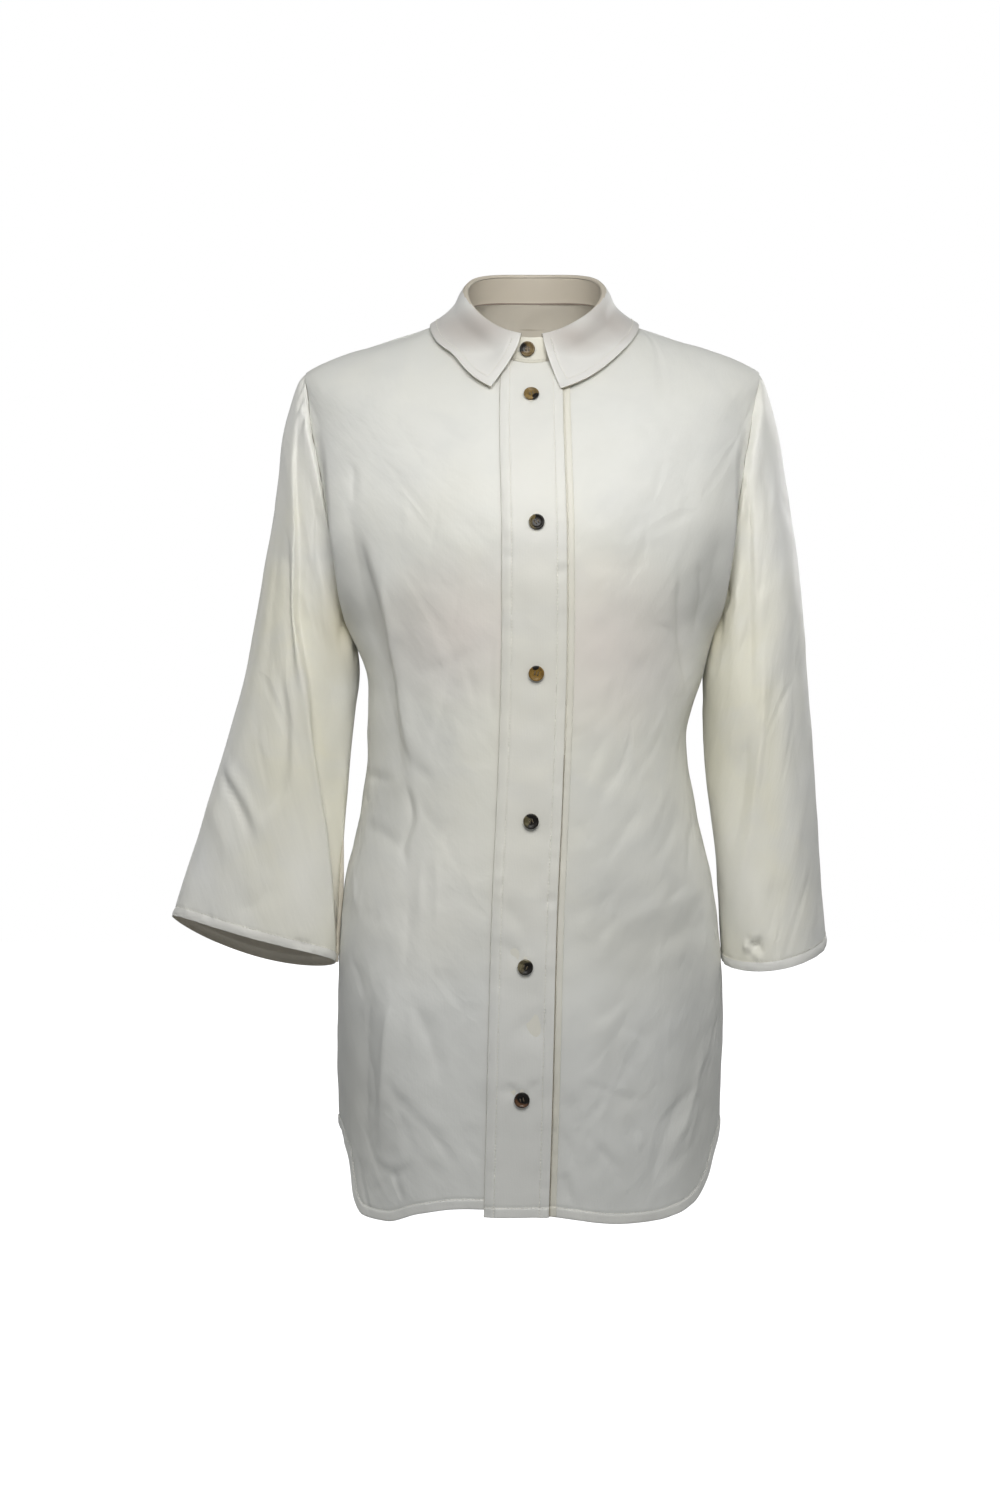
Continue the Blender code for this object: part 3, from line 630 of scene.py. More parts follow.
def cloth(name, cool, warm, rumple, sheen=0.15, casts=(), tints=()):
    """casts are patches where the cloth is warmer, or cooler where the weight is below zero,
    and tints are patches with a colour of their own: a few are tints of the cloth, and
    the rest are painted shade and painted light."""
    made, tree, shader = plain(
        name, {"Specular IOR Level": 0.35, "Sheen Weight": sheen, "Sheen Roughness": 0.5})
    cut_map = node(tree, "UVMap", uv_map="cut")
    woven = node(tree, "Group", {"Rumple": rumple, "Cut": cut_map.outputs[0]}, node_tree=satin)
    place = node(tree, "TexCoord").outputs["Object"]
    drift = scaled(tree, woven.outputs["Drift"], 0.3, -0.55)
    blend = scaled(tree, noise(tree, place, 6.5, 2.0).outputs["Fac"], 1.3, drift)
    for row in casts:
        blend = scaled(tree, patch(tree, place, row), row[6], blend)
    colour = blended(tree, blend, cool, warm)
    mottle = noise(tree, place, 17.0, 3.0, Distortion=0.6).outputs["Fac"]
    faint = tuple(0.90 * c for c in cool)
    colour = blended(tree, scaled(tree, mottle, 1.7, -0.748), colour, faint)
    for *row, weight, tint in tints:
        colour = blended(tree, scaled(tree, patch(tree, place, row), weight), colour, tint)
    bump = node(tree, "Bump", {
        "Strength": 1.0, "Distance": 0.0009, "Height": woven.outputs["Height"]})
    tree.links.new(colour, shader.inputs["Base Color"])
    tree.links.new(woven.outputs["Gloss"], shader.inputs["Roughness"])
    tree.links.new(bump.outputs[0], shader.inputs["Normal"])
    return made


# the rosy colour is a tint of the cloth; the dusky colour is painted shade, the pale one painted
# light, and the ash, slate and straw colours are painted shade
ROSE, LEAF_SHADE_COLOUR, PALE_PAINTED_LIGHT = (0.820, 0.755, 0.705), (0.500, 0.455, 0.420), (0.930, 0.920, 0.860)
GREY_PAINTED_SHADE, UNDERARM_PAINTED_SHADE, ARMPIT_PAINTED_SHADE = (0.640, 0.640, 0.600), (0.690, 0.640, 0.470), (0.440, 0.440, 0.410)
# each patch: its centre, its size, its weight, and its colour if it has one of its own
FRONT_CASTS = ((10, -120, -360, 150, 400, 300, 1.0), (-80, -120, -760, 400, 400, 260, -0.8))
# a rosy tint under the bust; painted light low on the wearer's right front and painted shade low on
# the left one; painted shade at both low sides and under both arms
FRONT_TINTS_LIGHT_AND_SHADE = (
    (-55, -120, -270, 85, 200, 70, 0.75, ROSE), (55, -120, -285, 95, 200, 85, 0.75, ROSE),
    (-86, -120, -490, 65, 200, 90, 0.60, PALE_PAINTED_LIGHT), (75, -120, -490, 65, 200, 75, 0.70, GREY_PAINTED_SHADE),
    (-150, -60, -670, 50, 160, 120, 0.85, GREY_PAINTED_SHADE), (150, -60, -670, 50, 160, 120, 0.80, GREY_PAINTED_SHADE),
    (146, -70, -228, 34, 120, 70, 0.60, ARMPIT_PAINTED_SHADE), (156, -70, -165, 24, 120, 60, 0.35, ARMPIT_PAINTED_SHADE),
    (-148, -70, -238, 28, 120, 60, 0.50, ARMPIT_PAINTED_SHADE),
)
SLEEVE_CASTS = (
    (-203, -50, -320, 55, 300, 240, 1.2), (-165, -50, -480, 60, 300, 220, 0.9),
    (160, -50, -330, 55, 300, 260, 1.2), (178, -50, -500, 60, 300, 220, 0.9),
)
# painted light low on both sleeves, and painted shade on both sleeves by the underarm seam
SLEEVE_PAINTED_LIGHT_AND_SHADE = (
    (-188, -50, -490, 50, 200, 110, 0.9, PALE_PAINTED_LIGHT), (165, -50, -480, 45, 200, 110, 0.9, PALE_PAINTED_LIGHT),
    (-155, -40, -262, 30, 120, 55, 0.9, UNDERARM_PAINTED_SHADE), (140, -50, -255, 32, 120, 50, 0.9, UNDERARM_PAINTED_SHADE),
)
# painted shade: darker, rosy patches across the middle of both collar leaves
LEAF_SHADE_PATCHES = (
    (-48, -80, -17, 46, 120, 23, 1.15, LEAF_SHADE_COLOUR), (-70, -60, -6, 34, 120, 18, 0.80, LEAF_SHADE_COLOUR),
    (36, -90, -25, 38, 120, 19, 1.10, LEAF_SHADE_COLOUR), (70, -60, -6, 34, 120, 26, 1.10, LEAF_SHADE_COLOUR),
)
body_satin = cloth(
    "cream_satin", (0.790, 0.795, 0.765), (0.790, 0.780, 0.700), 1.0,
    casts=FRONT_CASTS, tints=FRONT_TINTS_LIGHT_AND_SHADE)
# the same satin as the body's, painted lighter on the sleeves to stand in for the light there
sleeve_satin = cloth(
    "cream_satin_sleeves", (0.862, 0.864, 0.840), (0.850, 0.830, 0.705), 1.0,
    casts=SLEEVE_CASTS, tints=SLEEVE_PAINTED_LIGHT_AND_SHADE)
hem_satin = cloth("doubled_hem_satin", (0.820, 0.820, 0.790), (0.820, 0.808, 0.745), 0.5)
cuff_satin = cloth("doubled_cuff_satin", (0.845, 0.842, 0.810), (0.840, 0.822, 0.750), 0.5)
band_satin = cloth(
    "interlined_satin", (0.790, 0.790, 0.755), (0.790, 0.778, 0.705), 0.5, casts=FRONT_CASTS)
leaf_satin = cloth(
    "collar_satin", (0.790, 0.787, 0.760), (0.780, 0.755, 0.705), 0.6, 0.25, tints=LEAF_SHADE_PATCHES)
under_band_satin = cloth("interlined_satin_warm", (0.800, 0.785, 0.705), (0.800, 0.765, 0.640), 0.5)
# painted shade on the edges of the doubled pieces: their rims and rounded edges
edge_satin = cloth("folded_edge_satin", (0.560, 0.535, 0.450), (0.540, 0.505, 0.400), 0.3)
# painted shadow in the thin gap under the top band's edge
gap_shadow_satin = cloth("satin_under_the_edge", (0.400, 0.350, 0.265), (0.370, 0.315, 0.225), 0.3)
# painted shade at the seam along the foot of the stand's inside, and on the stand's edges
seam_satin = cloth("stand_seam_satin", (0.300, 0.240, 0.195), (0.280, 0.220, 0.170), 0.3)
wrong_side = cloth("satin_wrong_side", (0.815, 0.760, 0.655), (0.775, 0.715, 0.600), 0.8, 0.05)
# the wrong side of the cloth, darkened as painted shade inside the neck and on the collar's turn
wrong_side_and_painted_shade = cloth("wrong_side_and_painted_shade", (0.66, 0.60, 0.50), (0.62, 0.555, 0.45), 0.5, 0.05)


def thread(name, colour):
    return plain(name, {"Base Color": (*colour, 1), "Roughness": 0.55, "Sheen Weight": 0.2})[0]


cream_thread = thread("cream_thread", (0.80, 0.78, 0.70))
button_thread = thread("button_thread", (0.150, 0.115, 0.070))
print("cloths:", [m.name for m in bpy.data.materials if "satin" in m.name])

# %% [markdown]
# ## Laying a sheet of cloth
# Every piece of cloth starts as a flat grid, and each crossing of the grid is put at its own
# place on the form. Its flat coordinates stay on it as a UV map in metres, so the threads run
# as they were cut. A Solidify modifier gives it its thickness towards the body, with the
# wrong side of the cloth in a material of its own.

# %% Lay cloth
def grid_normals(points, closed=False):
    if closed:
        wide = np.concatenate([points[:, -2:-1], points, points[:, 1:2]], axis=1)
        across = wide[:, 2:] - wide[:, :-2]
    else:
        across = np.gradient(points, axis=1)
    return unit(np.cross(across, np.gradient(points, axis=0)))


def lay_cloth(
    name, solid, points, cut, out, right_side, thick,
    closed=False, inner=wrong_side, apart=None, finish=hem_satin, under=None, edge=None,
):
    """points and cut are grids, and out is the way that the cloth's right side faces. Faces with
    all their corners marked in `apart` are in `finish` and `under`, and the rim is in `edge`."""
    rows, columns = points.shape[:2]
    bm = bmesh.new()
    bmesh.ops.create_grid(bm, x_segments=columns - 1, y_segments=rows - 1, size=0.5)
    place = bm.verts.layers.int.new("place")
    for vert in bm.verts:
        across, up = round((vert.co.x + 0.5) * (columns - 1)), round((vert.co.y + 0.5) * (rows - 1))
        vert[place] = up * columns + across
        vert.co = points[up, across]
    uv, flat = bm.loops.layers.uv.new("cut"), cut.reshape(-1, 2)
    marked = np.zeros(rows * columns, bool) if apart is None else apart.ravel()
    for face in bm.faces:
        for loop in face.loops:
            loop[uv].uv = flat[loop.vert[place]]
        face.material_index = 2 if all(marked[vert[place]] for vert in face.verts) else 0
    if closed:
        bmesh.ops.remove_doubles(bm, verts=bm.verts[:], dist=1e-6)
    bm.normal_update()
    bm.faces.ensure_lookup_table()
    probe = bm.faces[len(bm.faces) // 2]
    if probe.normal @ Vector(out.reshape(-1, 3)[probe.verts[0][place]]) < 0:
        bmesh.ops.reverse_faces(bm, faces=bm.faces[:])
    rim = [edge] * 3 if edge else []
    made = thing(name, bm, [right_side, inner, finish, under or inner, *rim])
    wall = made.modifiers.new("cloth_thickness", "SOLIDIFY")
    wall.thickness, wall.offset, wall.material_offset = thick, -1, 1
    wall.use_even_offset = False
    wall.material_offset_rim = 4 if edge else 0
    return worn(made, solid)


def lengths(points, axis):
    """Metres along a grid's rows or columns, from its first row or column."""
    return run_along(points) if axis else run_along(points.swapaxes(0, 1)).T


def cut_size(points):
    """The middle width and length of a grid, and its area."""
    across, up = lengths(points, 1)[:, -1], lengths(points, 0)[-1]
    edge_a, edge_b = np.diff(points, axis=1)[:-1], np.diff(points, axis=0)[:, :-1]
    area = np.linalg.norm(np.cross(edge_a, edge_b), axis=2).sum()
    return float(across.max()), float(up.max()), float(area)


def told(*grids):
    return [[round(x, 3) for x in cut_size(points)] for points in grids]


print("cloth can be laid")

# %% [markdown]
# ## The two fronts
# Each front runs from its band to the side seam, is cut away at the armhole, and meets the
# back at the shoulder. It hangs from the shoulder and the bust, so the folds start at the
# armpit, at the waist and at the low corners of the hem. The hem is turned up 8 mm and sewn,
# and the seams sink in a little where the cloth is pulled into them.

# %% Rows
HEM_STEPS = np.array([0, 5, 12, 22, 36, 52, 66, 74, 80, 86, 96, 112, 135]) / 1e4
SKIRT = 0.475               # from the hem up to the underarm


def panel_rows(share, hem):
    """Each row's level in each column, and how far above the hem it is."""
    low = smooth(HEMS[:, 0], HEMS[:, hem], np.abs(share))
    above_hem = np.linspace(HEM_STEPS[-1] / SKIRT, 1, 158)[1:]
    climb = np.concatenate([HEM_STEPS / SKIRT, above_hem])
    skirt = low + (UNDERARM - low) * climb[:, None]
    even = np.linspace(UNDERARM, TIP, ARM_ROWS + 1)[1:, None]
    at_armhole = even + (armhole_levels()[1:, None] - even) * np.abs(share) ** 3
    top = np.append(np.linspace(TIP, NECKLINE, 25)[1:-1], [NECKLINE - 0.0004, NECKLINE])
    level = np.concatenate([skirt, at_armhole, top[:, None] + 0 * share])
    return level, level - low, len(climb) - 1


def armhole_dips(table, side, trunk_edge, face, start):
    """The way in at a panel's sewn edge, shared with the sleeve along the armhole."""
    _, facing, normals = sleeve_form(table, side, np.array([0.0, 1.0]))
    both = (facing + normals) / 2
    dips = trunk_edge.copy()
    dips[start:start + ARM_ROWS + 1] = both[::-face][:ARM_ROWS + 1]
    return dips[:, None]


def hem_turn(above, along, seed):
    """The turned hem: a little thick and uneven below its row of stitches."""
    thick = 0.0006 * (1 - ease((above - 0.0074) / 0.0012))
    groove = -0.0006 * bell(above - 0.0082, 0.0007)
    roping = ripple(along, above * 0.7, seed, 0.011, 0.00022)
    roping = roping * (1 - ease((above - 0.004) / 0.012))
    return thick + groove + roping - 0.0004 * bell(above, 0.0006)


def calm_at_neck(level):
    return ease((NECKLINE - level) / 0.02) * 0.8 + 0.2


def panel_form(spread, first, hem, face, side=1):
    """A panel on the trunk, from `first` metres off the centre line out to its sewn edge."""
    level, above, start = panel_rows((first + spread * (SIDE_REACH - first)) / SIDE_REACH, hem)
    length = half_length(level, face)
    share = np.ones_like(level)
    armhole = slice(start, start + ARM_ROWS + 1)
    share[armhole] = edge_share(level[armhole, -1], face)[:, None]
    width = share * length
    across = side * (first + spread * (width - first))
    points = section(level, across / length, face, True)
    normals = grid_normals(points)
    normals *= np.sign((normals * np.array([0, face, 0])).sum(2).mean())
    slope = np.gradient(level[0]) / np.gradient(across[0])
    return points, normals, across, level, above / np.sqrt(1 + slope**2), width, start


def lay_panel(name, solid, form, push, dips):
    """Pushes the folds into a panel, sinks its sewn edge, and finds its row of stitches."""
    points, normals, across, _, above, width, _ = form
    sunk = 0.0011 * bell(width - np.abs(across), 0.0017)
    points = points + push[..., None] * normals - sunk[..., None] * dips
    cut = np.stack([across, lengths(points, 0) - lengths(points, 0)[-1]], axis=-1)
    lay_cloth(
        name, solid, points, cut, normals, body_satin, CLOTH_WALL,
        apart=above < HEM_DEPTH + 0.0001)
    row, column = np.abs(above - HEM_DEPTH).argmin(0), np.arange(above.shape[1])
    return points, (points[row, column], normals[row, column])


print("rows in a panel:", len(panel_rows(np.array([0.5]), 1)[0]))

# %% Folds of the right front
# the wearer's right is on -X, so both numbers of a point are turned
RIGHT_FRONT_FOLDS = drawn("""
    # lines below the armpit, and the ridge that falls from it to the waist
    30 120 80 15  160 170  154 200  152 230  146 268  142 300
    30 50 120 35  150 196  145 222  138 245  134 268  146 300
    -38 120 80 0  126 200  127 262  118 324  104 375  94 410
    30 80 110 20  140 262  131 310  121 355  114 400
    12 50 40 30  153 152  154 168  152 184
    # long soft lines beside the band and under the bust
    10 40 40 30  32 272  34 314  30 350
    14 140 60 25  62 276  72 320  80 356  86 386
    8 70 50 30  40 283  78 300  112 306
    13 220 160 0  20 222  70 236  120 232
    10 60 40 30  118 354  98 382  72 396
    # the waist, pinched at the side seam
    12 50 40 40  190 388  150 390  116 394
    20 40 45 45  112 388  100 424  107 446  99 466
    10 50 60 35  166 430  132 435  102 451
    -20 90 80 0  178 452  164 478  148 506
    -11 45 40 0  87 446  87 477  85 508
    -12 45 50 0  75 446  72 481  72 516
    10 60 40 30  98 480  96 520  98 556
    # the low corner of the hem, pulled towards the band
    -36 120 45 0  106 548  111 590  115 640  122 696
    34 100 160 20  132 560  135 620  138 690
    13 70 45 40  96 560  78 592  69 616  65 644
    12 60 90 25  121 630  90 659  67 680  50 709  42 732
    10 55 70 30  114 660  92 676  74 697  50 724
    14 40 45 40  128 700  104 711  82 697
    12 35 40 40  107 706  101 719  94 734
""", (-1, -1))
RIGHT_FRONT_FOLDS += small_creases(101, 26, (-0.17, -0.73), (-0.04, -0.30), 105)
RIGHT_FRONT_FOLDS += small_creases(102, 14, (-0.15, -0.74), (-0.04, -0.62), 60)
RIGHT_FRONT_FOLDS += small_creases(103, 5, (-0.14, -0.30), (-0.03, -0.19), 95)
print("right front:", len(RIGHT_FRONT_FOLDS), "folds")

# %% Folds of the left front
LEFT_FRONT_FOLDS = drawn("""
    22 80 120 10  160 190  156 215  151 245  146 285
    28 100 50 35  122 212  127 252  140 290  154 325
    16 50 50 30  140 214  146 240  150 270
    14 220 160 0  26 216  70 222  122 218
    6 30 30 40  104 265  116 268  128 271
    # soft drags from the side at the waist down towards the band
    7 50 65 35  60 352  50 378  41 402
    8 50 70 35  84 368  62 400  51 424
    -8 60 45 0  142 378  114 413  86 450
    7 50 60 30  102 402  80 433  60 464
    8 70 100 30  150 420  122 440  94 470
    -18 120 90 0  182 482  140 489  106 496  58 522
    14 90 140 20  186 508  140 516  95 532
    9 50 70 30  92 562  76 574  54 588
    # the low corner
    6 28 34 50  42 631  62 637  84 646  114 650
    10 40 50 30  42 640  44 660  45 684
    -24 65 60 0  176 600  163 640  150 670  137 688  128 710
    -14 35 40 0  168 655  155 681  147 700
    20 120 70 25  150 640  132 675  120 703  106 722
    13 35 50 40  37 704  40 717  44 732
    11 40 50 35  60 682  72 694  86 708
""")
LEFT_FRONT_FOLDS += small_creases(104, 24, (0.045, -0.73), (0.17, -0.32), 70)
LEFT_FRONT_FOLDS += small_creases(105, 10, (0.045, -0.72), (0.15, -0.60), 110)
LEFT_FRONT_FOLDS += small_creases(106, 5, (0.035, -0.30), (0.14, -0.19), 85)
print("left front:", len(LEFT_FRONT_FOLDS), "folds")


# %% Make the fronts
def front_calm(across, up):
    """The unevenness that the fronts and the bands share."""
    low = ease((-up - 0.30) / 0.35)
    broad = ripple(across, up * 0.40, 11, 0.075, 0.0007) * (0.6 + 1.6 * low)
    return broad + ripple(across, up, 12, 0.030, 0.00022)


def bust(level, side_at_hem, reach, away):
    """The fullness beside the armpit, a steady way in from where the side is at the hem."""
    inward = side_at_hem - reach - 0.042
    full = bell(inward, np.where(inward < 0, 0.0200, 0.040)) * ease(away / 0.022)
    return full * ease((-level - 0.125) / 0.080) * ease((level + 0.370) / 0.120)


def make_front(name, side, first, hem, folds, table, solid):
    spread = 1 - (1 - np.linspace(0, 1, 124)) ** 1.30
    form = panel_form(spread, first, hem, FRONT, side)
    _, normals, across, level, above, width, start = form
    reach = side * across
    away = width - reach
    push = folded(across, level, folds) * ease((reach - BAND_HALF) / 0.010)
    push += front_calm(across, level)
    at_seam = ripple(level, away * 0.3, 20 + side, 0.016, 0.00030)
    push += at_seam * np.exp(-away / 0.009) * (level > UNDERARM)
    at_seam = ripple(level, away * 0.2, 24 + side, 0.034, 0.00035)
    push += at_seam * np.exp(-away / 0.012) * (level < UNDERARM)
    push *= calm_at_neck(level)
    push += hem_turn(above, reach, 30 + side) + 0.0125 * bust(level, width[0, -1], reach, away)
    dips = armhole_dips(table, side, normals[:, -1], FRONT, start)
    return lay_panel(name, solid, form, push, dips)


left_front, left_hem = make_front(
    "left_front", 1, BAND_HALF + SEAM, 1, LEFT_FRONT_FOLDS, SLEEVE_LEFT, "front_left")
right_front, right_hem = make_front(
    "right_front", -1, BAND_HALF - BAND_LAP, 2, RIGHT_FRONT_FOLDS, SLEEVE_RIGHT, "front_right")
print("fronts, width, length and area:", told(left_front, right_front))

# %% [markdown]
# ## The back
# One wide piece, with no yoke. A back hangs from the shoulder blades, so soft upright folds
# fall from them, drag lines run out to the armholes, and the waist gathers a little at both
# sides. Nobody sees it from the front, but it is worked in the same way as the fronts.

# %% Folds of the back
BACK_FOLDS = drawn("""
    30 140 100 30  -118 150  -108 200  -100 262  -94 330
    26 100 150 30  124 142  112 190  106 250  102 300
    36 100 80 35  -196 206  -172 232  -156 270  -150 320
    34 80 100 35  194 200  174 226  160 262  156 305
    18 70 90 30  -190 120  -170 136  -146 146
    16 70 80 30  192 128  172 140  150 147
    16 200 160 0  -70 110  0 118  74 112
    # the waist
    34 80 70 45  -182 384  -142 392  -104 410  -82 440
    26 60 80 40  -176 426  -140 430  -112 446
    28 100 70 40  178 370  140 386  102 412  74 452
    20 60 60 40  166 412  138 424  116 440
    18 160 120 25  -30 300  -22 360  -28 430
    14 120 140 25  38 320  44 378  36 440
    # upright folds below the waist
    34 180 120 25  -90 470  -98 560  -104 660  -106 745
    -26 140 160 0  -48 500  -52 590  -56 680  -54 750
    26 140 180 25  22 520  18 610  10 700
    34 120 180 25  96 480  104 570  110 660  108 740
    -24 120 120 0  140 520  146 600  148 680
    # creases near the hem
    20 60 80 40  -140 640  -108 668  -80 704
    16 50 70 40  -12 690  26 706  52 734
    18 60 70 35  150 630  124 660  110 700
""")
BACK_FOLDS += small_creases(107, 34, (-0.18, -0.74), (0.16, -0.34), 85)
BACK_FOLDS += small_creases(108, 14, (-0.15, -0.33), (0.13, -0.12), 80)
print("back:", len(BACK_FOLDS), "folds")


# %% Make the back
def make_back():
    run = np.linspace(-1, 1, 149)
    spread = np.sign(run) * (1 - (1 - np.abs(run)) ** 1.25)
    form = panel_form(spread, 0, 3, BACK)
    _, normals, across, level, above, width, start = form
    away = width - np.abs(across)
    broad = ripple(across, level * 0.40, 41, 0.080, 0.0009)
    push = broad * (0.6 + 1.8 * ease((-level - 0.30) / 0.35))
    push += ripple(across, level, 42, 0.032, 0.00025) + folded(across, level, BACK_FOLDS)
    at_seam = ripple(level, away * 0.3, 43, 0.017, 0.00030)
    push += at_seam * np.exp(-away / 0.009) * (level > UNDERARM)
    push = push * calm_at_neck(level) + hem_turn(above, across, 44)
    left_dips = armhole_dips(SLEEVE_LEFT, 1, normals[:, -1], BACK, start)
    right_dips = armhole_dips(SLEEVE_RIGHT, -1, normals[:, 0], BACK, start)
    dips = np.where((across > 0)[..., None], left_dips, right_dips)
    return lay_panel("back_panel", "back", form, push, dips)


back_panel, back_hem = make_back()
print("back, width, length and area:", told(back_panel))

# %% [markdown]
# ## The sleeves
# Folds on a sleeve are placed by the turn round it, 180 degrees at the underarm seam, 90 at
# the front and 0 on top, and by the share of the way down. The wearer's right sleeve has one
# long fold from the shoulder point to the inner corner of the cuff: its outer side lies in
# one plane up to a crisp line, and past the line the cloth turns back.

# %% Folds of the sleeves
TURN, DOWN = 0.00105, 0.44      # metres of cloth for one degree, and for the whole way down
ON_SLEEVE = (1000 * TURN, -DOWN)
# the points are degrees round and thousandths of the way down
RIGHT_SLEEVE_FOLDS = drawn("""
    26 45 60 50  68 440  86 560  91 655  85 712  70 760
    30 50 35 70  18 680  38 708  52 726  65 752  79 802
    -20 120 100 0  4 740  30 765  52 810  62 880
    16 60 70 30  120 975  129 985  138 978
    24 35 45 60  8 2  20 14  30 44
    20 35 35 50  26 4  34 28  38 62
    16 35 35 50  40 6  46 30  52 60
    -16 90 80 0  97 120  104 210  113 310
    14 120 60 20  34 200  44 330  52 450  56 560
    10 120 80 20  10 340  18 460  22 580
    24 80 50 30  150 30  138 90  128 180  124 280
    22 50 60 30  165 40  156 120  150 220
    12 80 80 20  100 860  88 920  74 960
    # the shaded hollows beside the long fold: to its outer side, and lower down to its inner side
    34 50 150 20  50 200  60 270  69 340  84 440  93 500
    60 30 100 35  172 960  158 840  135 655  118 545  100 430  90 380
    # the side that faces back
    36 120 100 30  -60 80  -72 220  -84 400  -88 560
    30 100 80 40  -20 620  -52 680  -84 740  -104 820
    26 80 100 35  -150 60  -132 150  -122 270
    -24 140 120 0  -40 400  -46 560  -52 720  -56 900
    22 90 100 25  -112 620  -118 760  -128 900
""", ON_SLEEVE)
LEFT_SLEEVE_FOLDS = drawn("""
    38 100 50 40  58 2  78 30  90 100  94 190  98 350  103 500
    30 60 70 40  118 20  132 70  136 140  132 220
    34 35 45 50  168 12  150 34  136 62
    30 35 40 50  112 70  130 30  126 90  120 150
    18 30 35 50  150 10  144 50  150 100
    -14 35 40 0  110 120  109 185  112 230
    -36 80 80 0  83 340  88 460  95 560  112 710  138 860
    30 140 80 20  108 480  116 600  132 710  150 800
    12 90 60 30  66 60  60 105  54 160
    14 90 60 25  40 170  26 220  4 260
    16 100 100 20  90 820  96 880  98 950
    32 35 35 70  130 930  118 945  104 966
    32 35 35 70  106 930  116 948  130 970
    14 140 120 20  40 340  50 460  54 600  50 740
    -12 140 120 0  20 560  24 700  22 860
    # the side that faces back
    34 120 90 35  -66 20  -84 120  -92 260  -94 400
    28 80 100 35  -160 20  -142 90  -130 190
    24 120 100 30  -30 420  -56 500  -84 590
    -26 140 120 0  -70 520  -74 680  -80 860
    22 120 100 25  -118 500  -112 660  -116 820
""", ON_SLEEVE)
LONG_FOLD = (
    (0.0, 0.08, 0.18, 0.36, 0.445, 0.545, 0.655, 0.84, 1.0),    # share down
    (14, 45, 60, 77, 96, 112, 129, 153, 176),                   # turn
)
print("sleeves:", len(RIGHT_SLEEVE_FOLDS), "and", len(LEFT_SLEEVE_FOLDS), "folds")


# %% Make the sleeves
def sleeve_rows():
    """Shares of the way down, close together at the seam and in the hem."""
    length = 0.45
    upper = np.linspace(0, 1, 150) ** 1.25 * (1 - HEM_STEPS[-1] / length)
    return np.concatenate([upper, 1 - HEM_STEPS[::-1][1:] / length])


def cuff_turn(above, along, seed):
    """The cuff's hem is puffy: two turns of cloth that the stitches hold down."""
    roping = ripple(along, above * 0.8, seed, 0.010, 0.00030)
    roping = roping * (1 - ease((above - 0.005) / 0.010))
    return 0.0006 * bell(above - 0.0036, 0.0030) - 0.0004 * bell(above - 0.0080, 0.0008) + roping


def long_fold(turns, way):
    """How far the long fold goes back, and the crest along its line."""
    line = smooth(*LONG_FOLD, way[:, 0])[:, None]
    past = (turns - line) / (180 - line)
    depth = 0.0135 * ease(past / 0.075) * ease((1 - past) / 0.7) * ease(way / 0.07)
    depth *= 0.25 + 0.75 * ease(way / 0.40)
    crest = 0.0012 * bell((turns - line) * TURN, 0.0075)
    return depth, crest * ease((way - 0.16) / 0.24) * ease((1 - way) / 0.1 + 0.4)


def make_sleeve(name, table, side, folds, has_long_fold, solid):
    down = sleeve_rows()
    points, facing, trunk = sleeve_form(table, side, down)
    columns = points.shape[1]
    turns, way = np.meshgrid(np.linspace(180, -180, columns), down)
    normals = grid_normals(points, True) * -side
    away = lengths(points, 0)
    above = away[-1] - away
    if has_long_fold:
        depth, crest = long_fold(turns, way)
        points = points + depth[..., None] * np.array([0, 1.0, 0]) + crest[..., None] * normals
        normals = grid_normals(points, True) * -side
    around, fall = turns * TURN, -way * DOWN
    creases = small_creases(60 + side, 34, (-0.16, -0.41), (0.15, -0.04), 95)
    push = folded(around, fall, folds + creases)
    x, y = 0.06 * np.cos(np.radians(turns)), 0.06 * np.sin(np.radians(turns))
    broad = ripple(x + fall * 0.3, y + fall * 0.25, 50 + side, 0.060, 0.0008)
    fine = ripple(around, fall, 52 + side, 0.030, 0.00022)
    push += broad * ease(way / 0.15) + fine * ease((178 - np.abs(turns)) / 8)
    seam_line = lengths(points, 1)
    push += ripple(seam_line, away * 0.3, 54 + side, 0.015, 0.00030) * np.exp(-away / 0.010)
    push += cuff_turn(above, seam_line, 56 + side)
    push[:, -1] = push[:, 0]
    points = points + push[..., None] * normals
    sunk = 0.0008 * bell(away, 0.0017) + 0.0006 * bell(away, 0.0055)
    points = points - sunk[..., None] * ((facing + trunk) / 2)
    seam = 0.0008 * bell((180 - np.abs(turns)) * TURN, 0.0022) * ease(away / 0.01)
    points = points - seam[..., None] * normals
    points[:, -1] = points[:, 0]
    cut = np.stack([lengths(points, 1), -away], axis=-1)
    lay_cloth(
        name, solid, points, cut, normals, sleeve_satin, CLOTH_WALL,
        closed=True, apart=above < HEM_DEPTH - 0.0001, finish=cuff_satin)
    row = np.abs(above[:, columns // 4] - HEM_DEPTH).argmin()
    return points, (points[row], normals[row])


left_sleeve, left_cuff = make_sleeve(
    "left_sleeve", SLEEVE_LEFT, 1, LEFT_SLEEVE_FOLDS, False, "sleeve_left")
right_sleeve, right_cuff = make_sleeve(
    "right_sleeve", SLEEVE_RIGHT, -1, RIGHT_SLEEVE_FOLDS, True, "sleeve_right")
print("sleeves, width, length and area:", told(left_sleeve, right_sleeve))

# %% [markdown]
# ## The button bands
# Each band is a strip folded double over an interlining and stitched down 8 mm in from both
# edges. The wearer's right one, with the buttonholes, lies over the left one, which carries
# the buttons. The stitches draw small puckers across the strip outside them. A narrow strip
# of darker colour on the lower band is painted shadow in the thin gap under the upper one.

